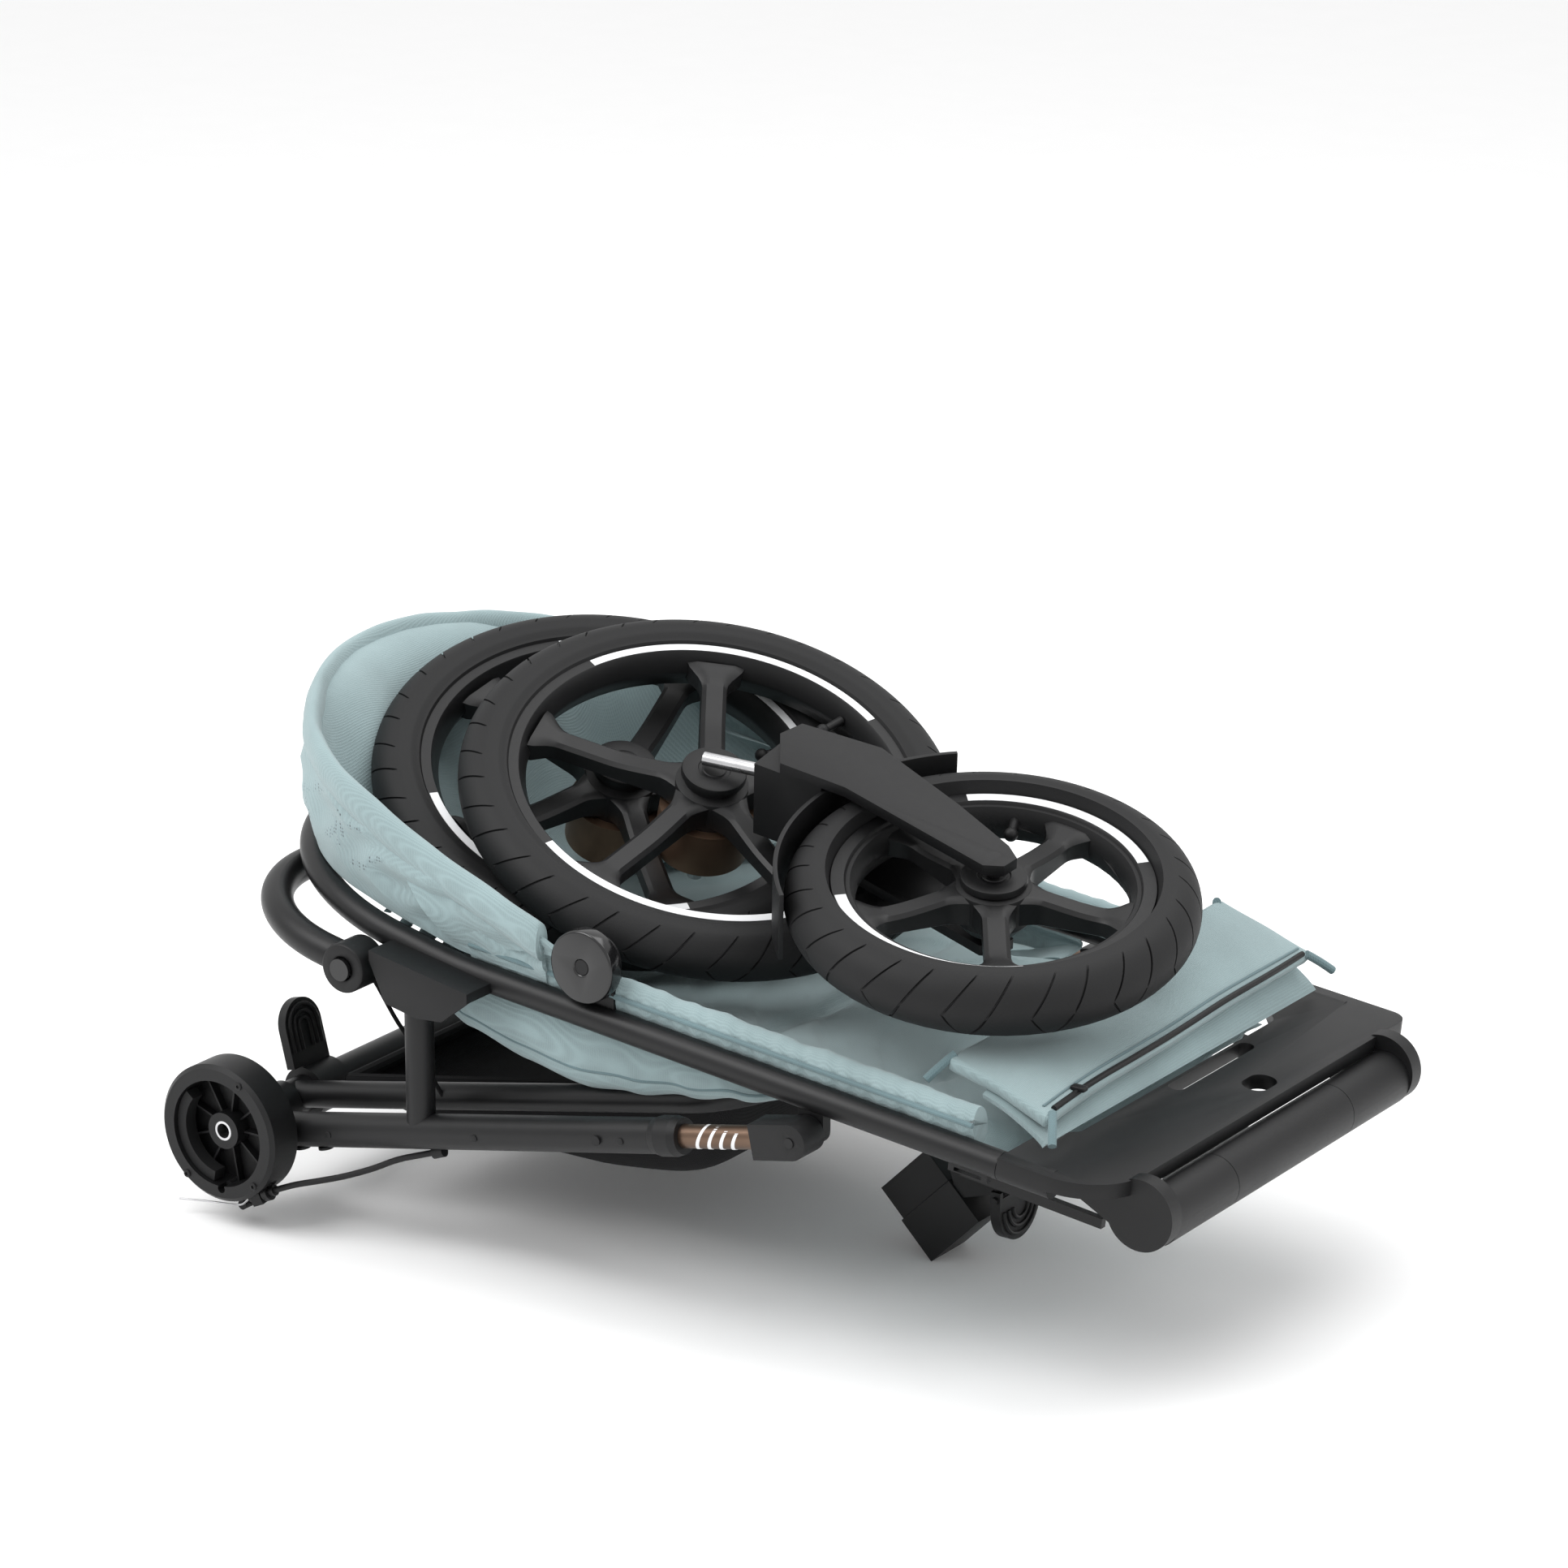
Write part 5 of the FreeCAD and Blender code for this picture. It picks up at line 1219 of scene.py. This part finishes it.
@dataclass
class Basket:
    """Sagging cloth basket under the seat, with a rolled top edge."""

    shop: Workshop
    front: float = 372.0
    rear: float = 742.0
    half: float = 174.0

    def rail(self, back: float) -> float:
        """Height of the basket's top edge."""
        return -72.0 + (786.0 - back) * 0.195

    def surface(self, along: float, across: float) -> Vector:
        """The bag's cloth.

        Args:
            along: share from the rear edge to the front.
            across: share from right to left.

        Returns:
            The point, in metres.
        """
        back = self.rear - (self.rear - self.front) * along
        u, v = 2 * along - 1, 2 * across - 1
        depth = (1 - abs(u) ** 9) * (1 - abs(v) ** 14)
        rail = self.rail(back)
        bottom = -92.5 + 62.0 * max(0.0, along - 0.62) ** 1.2
        fold = 2.5 * noise.noise(Vector((along * 6, across * 6, 3.0)))
        sag = (rail - bottom) * depth
        return self.shop.at(back, v * self.half, rail - sag + fold * depth * (1 - depth) * 4)

    def build(self) -> None:
        """Make the bag and its rolled edge."""
        bm = sheet(70, 60, self.surface)
        thicken(bm, 0.0025)
        bag = self.shop.piece(bm, "basket_bag", "black_fabric", "rear_frame", math.radians(75))
        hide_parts("basket")
        loop = []
        for index in range(120):
            share = index / 30.0
            side, place = int(share), share - int(share)
            corner = [(place, 0.0), (1.0, place), (1.0 - place, 1.0), (0.0, 1.0 - place)][side]
            loop.append(self.surface(*corner) + Vector((0, 0, 0.002)))
        loop.append(loop[0].copy())
        self.shop.piece(piping(loop, 0.006), "basket_hem", "black_fabric", "rear_frame")


def softened(shop: Workshop, node: str, body: str, edge: float) -> bpy.types.Object:
    """Stand in for a CAD node with a copy whose sharp edges are rounded.

    Args:
        shop: the workshop.
        node: the CAD node's name.
        body: the body that it rides on.
        edge: the rounding's size in millimetres.

    Returns:
        The new piece.
    """
    bm = bmesh.new()
    bm.from_mesh(shop.frame["nodes"][node].data)
    bmesh.ops.remove_doubles(bm, verts=bm.verts, dist=2e-6)
    bmesh.ops.dissolve_limit(bm, angle_limit=math.radians(0.8), verts=bm.verts[:],
                             edges=bm.edges[:])
    sharp = [e for e in bm.edges if e.is_manifold and e.calc_face_angle(0.0) > 0.55]
    bmesh.ops.bevel(bm, geom=sharp, offset=edge * MM, segments=3, profile=0.5,
                    affect="EDGES", clamp_overlap=True, material=-1)
    slot = next(part["material_slot"] for part in shop.frame["record"]["subparts"]
                if part["node"] == node)
    thing = shop.piece(bm, f"{node}_soft", slot, body)
    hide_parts(node)
    return thing


@dataclass
class Hardware:
    """Small parts on the frame: screws, rivets, stripes, ribs, rounded copies and a strap."""

    shop: Workshop

    def build(self) -> None:
        """Make the small parts on both sides."""
        for side in Side:
            self.plate_screws(side)
            self.rail_rivets(side)
            self.stripes(side)
        for node, body, edge in (("front_fork", "stowed_fork", 3.0),
                                 ("fork_mudguard", "stowed_fork", 1.2),
                                 ("leaf_brackets", "seat_frame", 2.0),
                                 ("stem_socket", "folding_arm", 2.5),
                                 ("footrest_board", "seat_frame", 1.5),
                                 ("pivot_fittings", "leg_stanchions", 2.0),
                                 ("canopy_discs", "canopy", 2.0),
                                 ("handle_hubs", "push_handle", 2.0)):
            softened(self.shop, node, body, edge)
        self.pedal_ribs()
        self.lever_ribs()
        self.elastic()

    def boss(self, name: str, spot: Vector, way: Vector, radius: float, height: float,
             finish: str, body: str, bore: float = 0.0) -> None:
        """Place one round head on a surface.

        Args:
            name: the piece's name.
            spot: the foot of the head.
            way: the direction it faces.
            radius: in millimetres.
            height: in millimetres.
            finish: a key of FINISHES.
            body: the body that it rides on.
            bore: radius of the recess in millimetres, or 0.
        """
        bm = disc(radius, height, edge=min(0.8, height * 0.4), bore=bore)
        turn = way.to_track_quat("Z", "Y").to_matrix().to_4x4()
        bm.transform(Matrix.Translation(spot) @ turn @ Matrix.Scale(MM, 4))
        self.shop.piece(bm, name, finish, body)

    def plate_screws(self, side: Side) -> None:
        """Three screws on a brake plate.

        Args:
            side: which side.
        """
        low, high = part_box(f"brake_plate_{side.name.lower()}")
        face = low.y if side is Side.RIGHT else high.y
        axle_low, axle_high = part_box("axle_tube")
        axle_radius = 0.015
        middle = Vector((axle_low.x + axle_radius, face, (axle_low.z + axle_high.z) / 2))
        way = Vector((0, side.value, 0))
        for number, angle in enumerate((118.0, 225.0, 308.0)):
            spoke = Vector((-math.cos(math.radians(angle)), 0, math.sin(math.radians(angle))))
            spot = middle + spoke * 0.0515 - way * 0.0006
            self.boss(f"plate_screw_{side.name.lower()}_{number + 1}", spot, way, 3.2, 2.0,
                      "black_plastic", "rear_frame", bore=1.4)

    def rail_rivets(self, side: Side) -> None:
        """Rivet heads along the leg.

        Args:
            side: which side.
        """
        word = side.name.lower()
        low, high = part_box(f"leg_tube_{word}")
        face = low.y if side is Side.RIGHT else high.y
        tube = 0.014
        for number, back in enumerate((420.0, 560.0, 705.0)):
            place = self.shop.origin.x - back * MM
            share = (place - low.x) / (high.x - low.x)
            up = low.z + tube + (high.z - low.z - 2 * tube) * share
            spot = Vector((place, face - 0.0004 * side.value, up))
            self.boss(f"leg_rivet_{word}_{number + 1}", spot,
                      Vector((0, side.value, 0)), 3.0, 1.4, "black_plastic", "rear_frame")

    def stripes(self, side: Side) -> None:
        """Four slanted white bands printed round the stanchion tube.

        Args:
            side: which side.
        """
        axis = Vector(self.shop.joints["stanchion_spring"]["axis"]).normalized()
        low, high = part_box("stanchions")
        start = Vector((low.x + 0.147, side.value * 0.235, 0.0))
        lift = (high.z - low.z - 0.018) / (high.x - low.x)
        for number in range(4):
            spot = start + Vector((-0.0108 * number, 0, 0))
            spot.z = low.z + 0.009 + (spot.x - low.x) * lift
            bm = spun([(9.15, -1.7), (9.4, -1.5), (9.4, 1.5), (9.15, 1.7)], 32)
            for vert in bm.verts:
                vert.co.z += vert.co.y * 0.55
            turn = (-axis).to_track_quat("Z", "Y").to_matrix().to_4x4()
            bm.transform(Matrix.Translation(spot) @ turn @ Matrix.Scale(MM, 4))
            self.shop.piece(bm, f"stripe_{side.name.lower()}_{number + 1}", "white_strip",
                            "leg_stanchions")

    def pedal_ribs(self) -> None:
        """Three nested arch ribs on the parking pedal."""
        low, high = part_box("brake_pedal")
        middle = (low.y + high.y) / 2
        top = Vector((low.x + 0.0045, middle, high.z))
        for number, radius in enumerate((17.5, 12.0, 6.5)):
            line = []
            for index in range(25):
                share = index / 24.0
                if share < 0.25:
                    across, up = -radius, -22.0 - 18.0 * (1 - share / 0.25)
                elif share > 0.75:
                    across, up = radius, -22.0 - 18.0 * (share - 0.75) / 0.25
                else:
                    angle = math.pi * (1 - (share - 0.25) / 0.5)
                    across, up = radius * math.cos(angle), -22.0 + radius * math.sin(angle)
                ahead = -up * math.tan(PEDAL_LEAN) * MM + 0.0035
                line.append(top + Vector((ahead, across * MM, up * MM)))
            self.shop.piece(piping(line, 0.0016, 8), f"pedal_rib_{number + 1}",
                            "black_plastic", "parking_pedal")

    def lever_ribs(self) -> None:
        """Nested U ribs on the front of the release lever."""
        low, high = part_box("release_lever")
        middle = (low.y + high.y) / 2
        for number, radius in enumerate((24.0, 17.5, 11.0)):
            line = []
            for index in range(25):
                angle = math.pi + math.pi * index / 24.0
                across, up = radius * math.cos(angle), radius * math.sin(angle)
                line.append(Vector((high.x, middle, low.z + 0.029))
                            + Vector((0.0003, across * MM, up * MM)))
            self.shop.piece(piping(line, 0.0017, 8), f"lever_rib_{number + 1}",
                            "black_plastic", "arm_release")

    def elastic(self) -> None:
        """Thin elastic strap from the seat ring to the basket rail."""
        line = [self.shop.at(690 - 60 * i / 16, -219.0 + 22.0 * i / 16,
                             62.0 - 104.0 * i / 16 + 1.5 * math.sin(i * 0.7))
                for i in range(17)]
        self.shop.piece(piping(line, 0.0018, 8), "elastic_strap", "black_fabric", "seat_frame")


def main() -> None:
    """Build the scene in order; the workshop notes the frame's size before."""
    logging.basicConfig(level=logging.INFO, format="%(name)s: %(message)s")
    shop = Workshop()
    shop.dress_frame()
    Studio().build()
    rear = Vector(shop.joints["wheel_a_spin"]["axis"])
    front = Vector(shop.joints["front_wheel_spin"]["axis"])
    Wheel(shop, "a", "stowed_wheel_a", "rear_tyre_a", "rear_rim_a", rear, spin=50.6).build()
    Wheel(shop, "b", "stowed_wheel_b", "rear_tyre_b", "rear_rim_b", rear, spin=31.9,
          strips=((52.0, 144.0), (-128.0, -36.0)), valve_angle=59.0).build()
    Wheel(shop, "c", "stowed_front_wheel", "front_tyre", "front_rim", front, radius=158.5,
          section=27.0, rim_out=124.0, face_in=112.5, floor_in=107.0, face_up=17.0,
          hub_up=23.5, grooves=30, spin=16.5, strips=((48.0, 132.0), (-136.0, -47.0)),
          valve_angle=113.0).build()
    SeatCloth(shop).build()
    LegFlap(shop).build()
    Canopy(shop).build()
    Basket(shop).build()
    Hardware(shop).build()


if __name__ == "__main__":
    main()
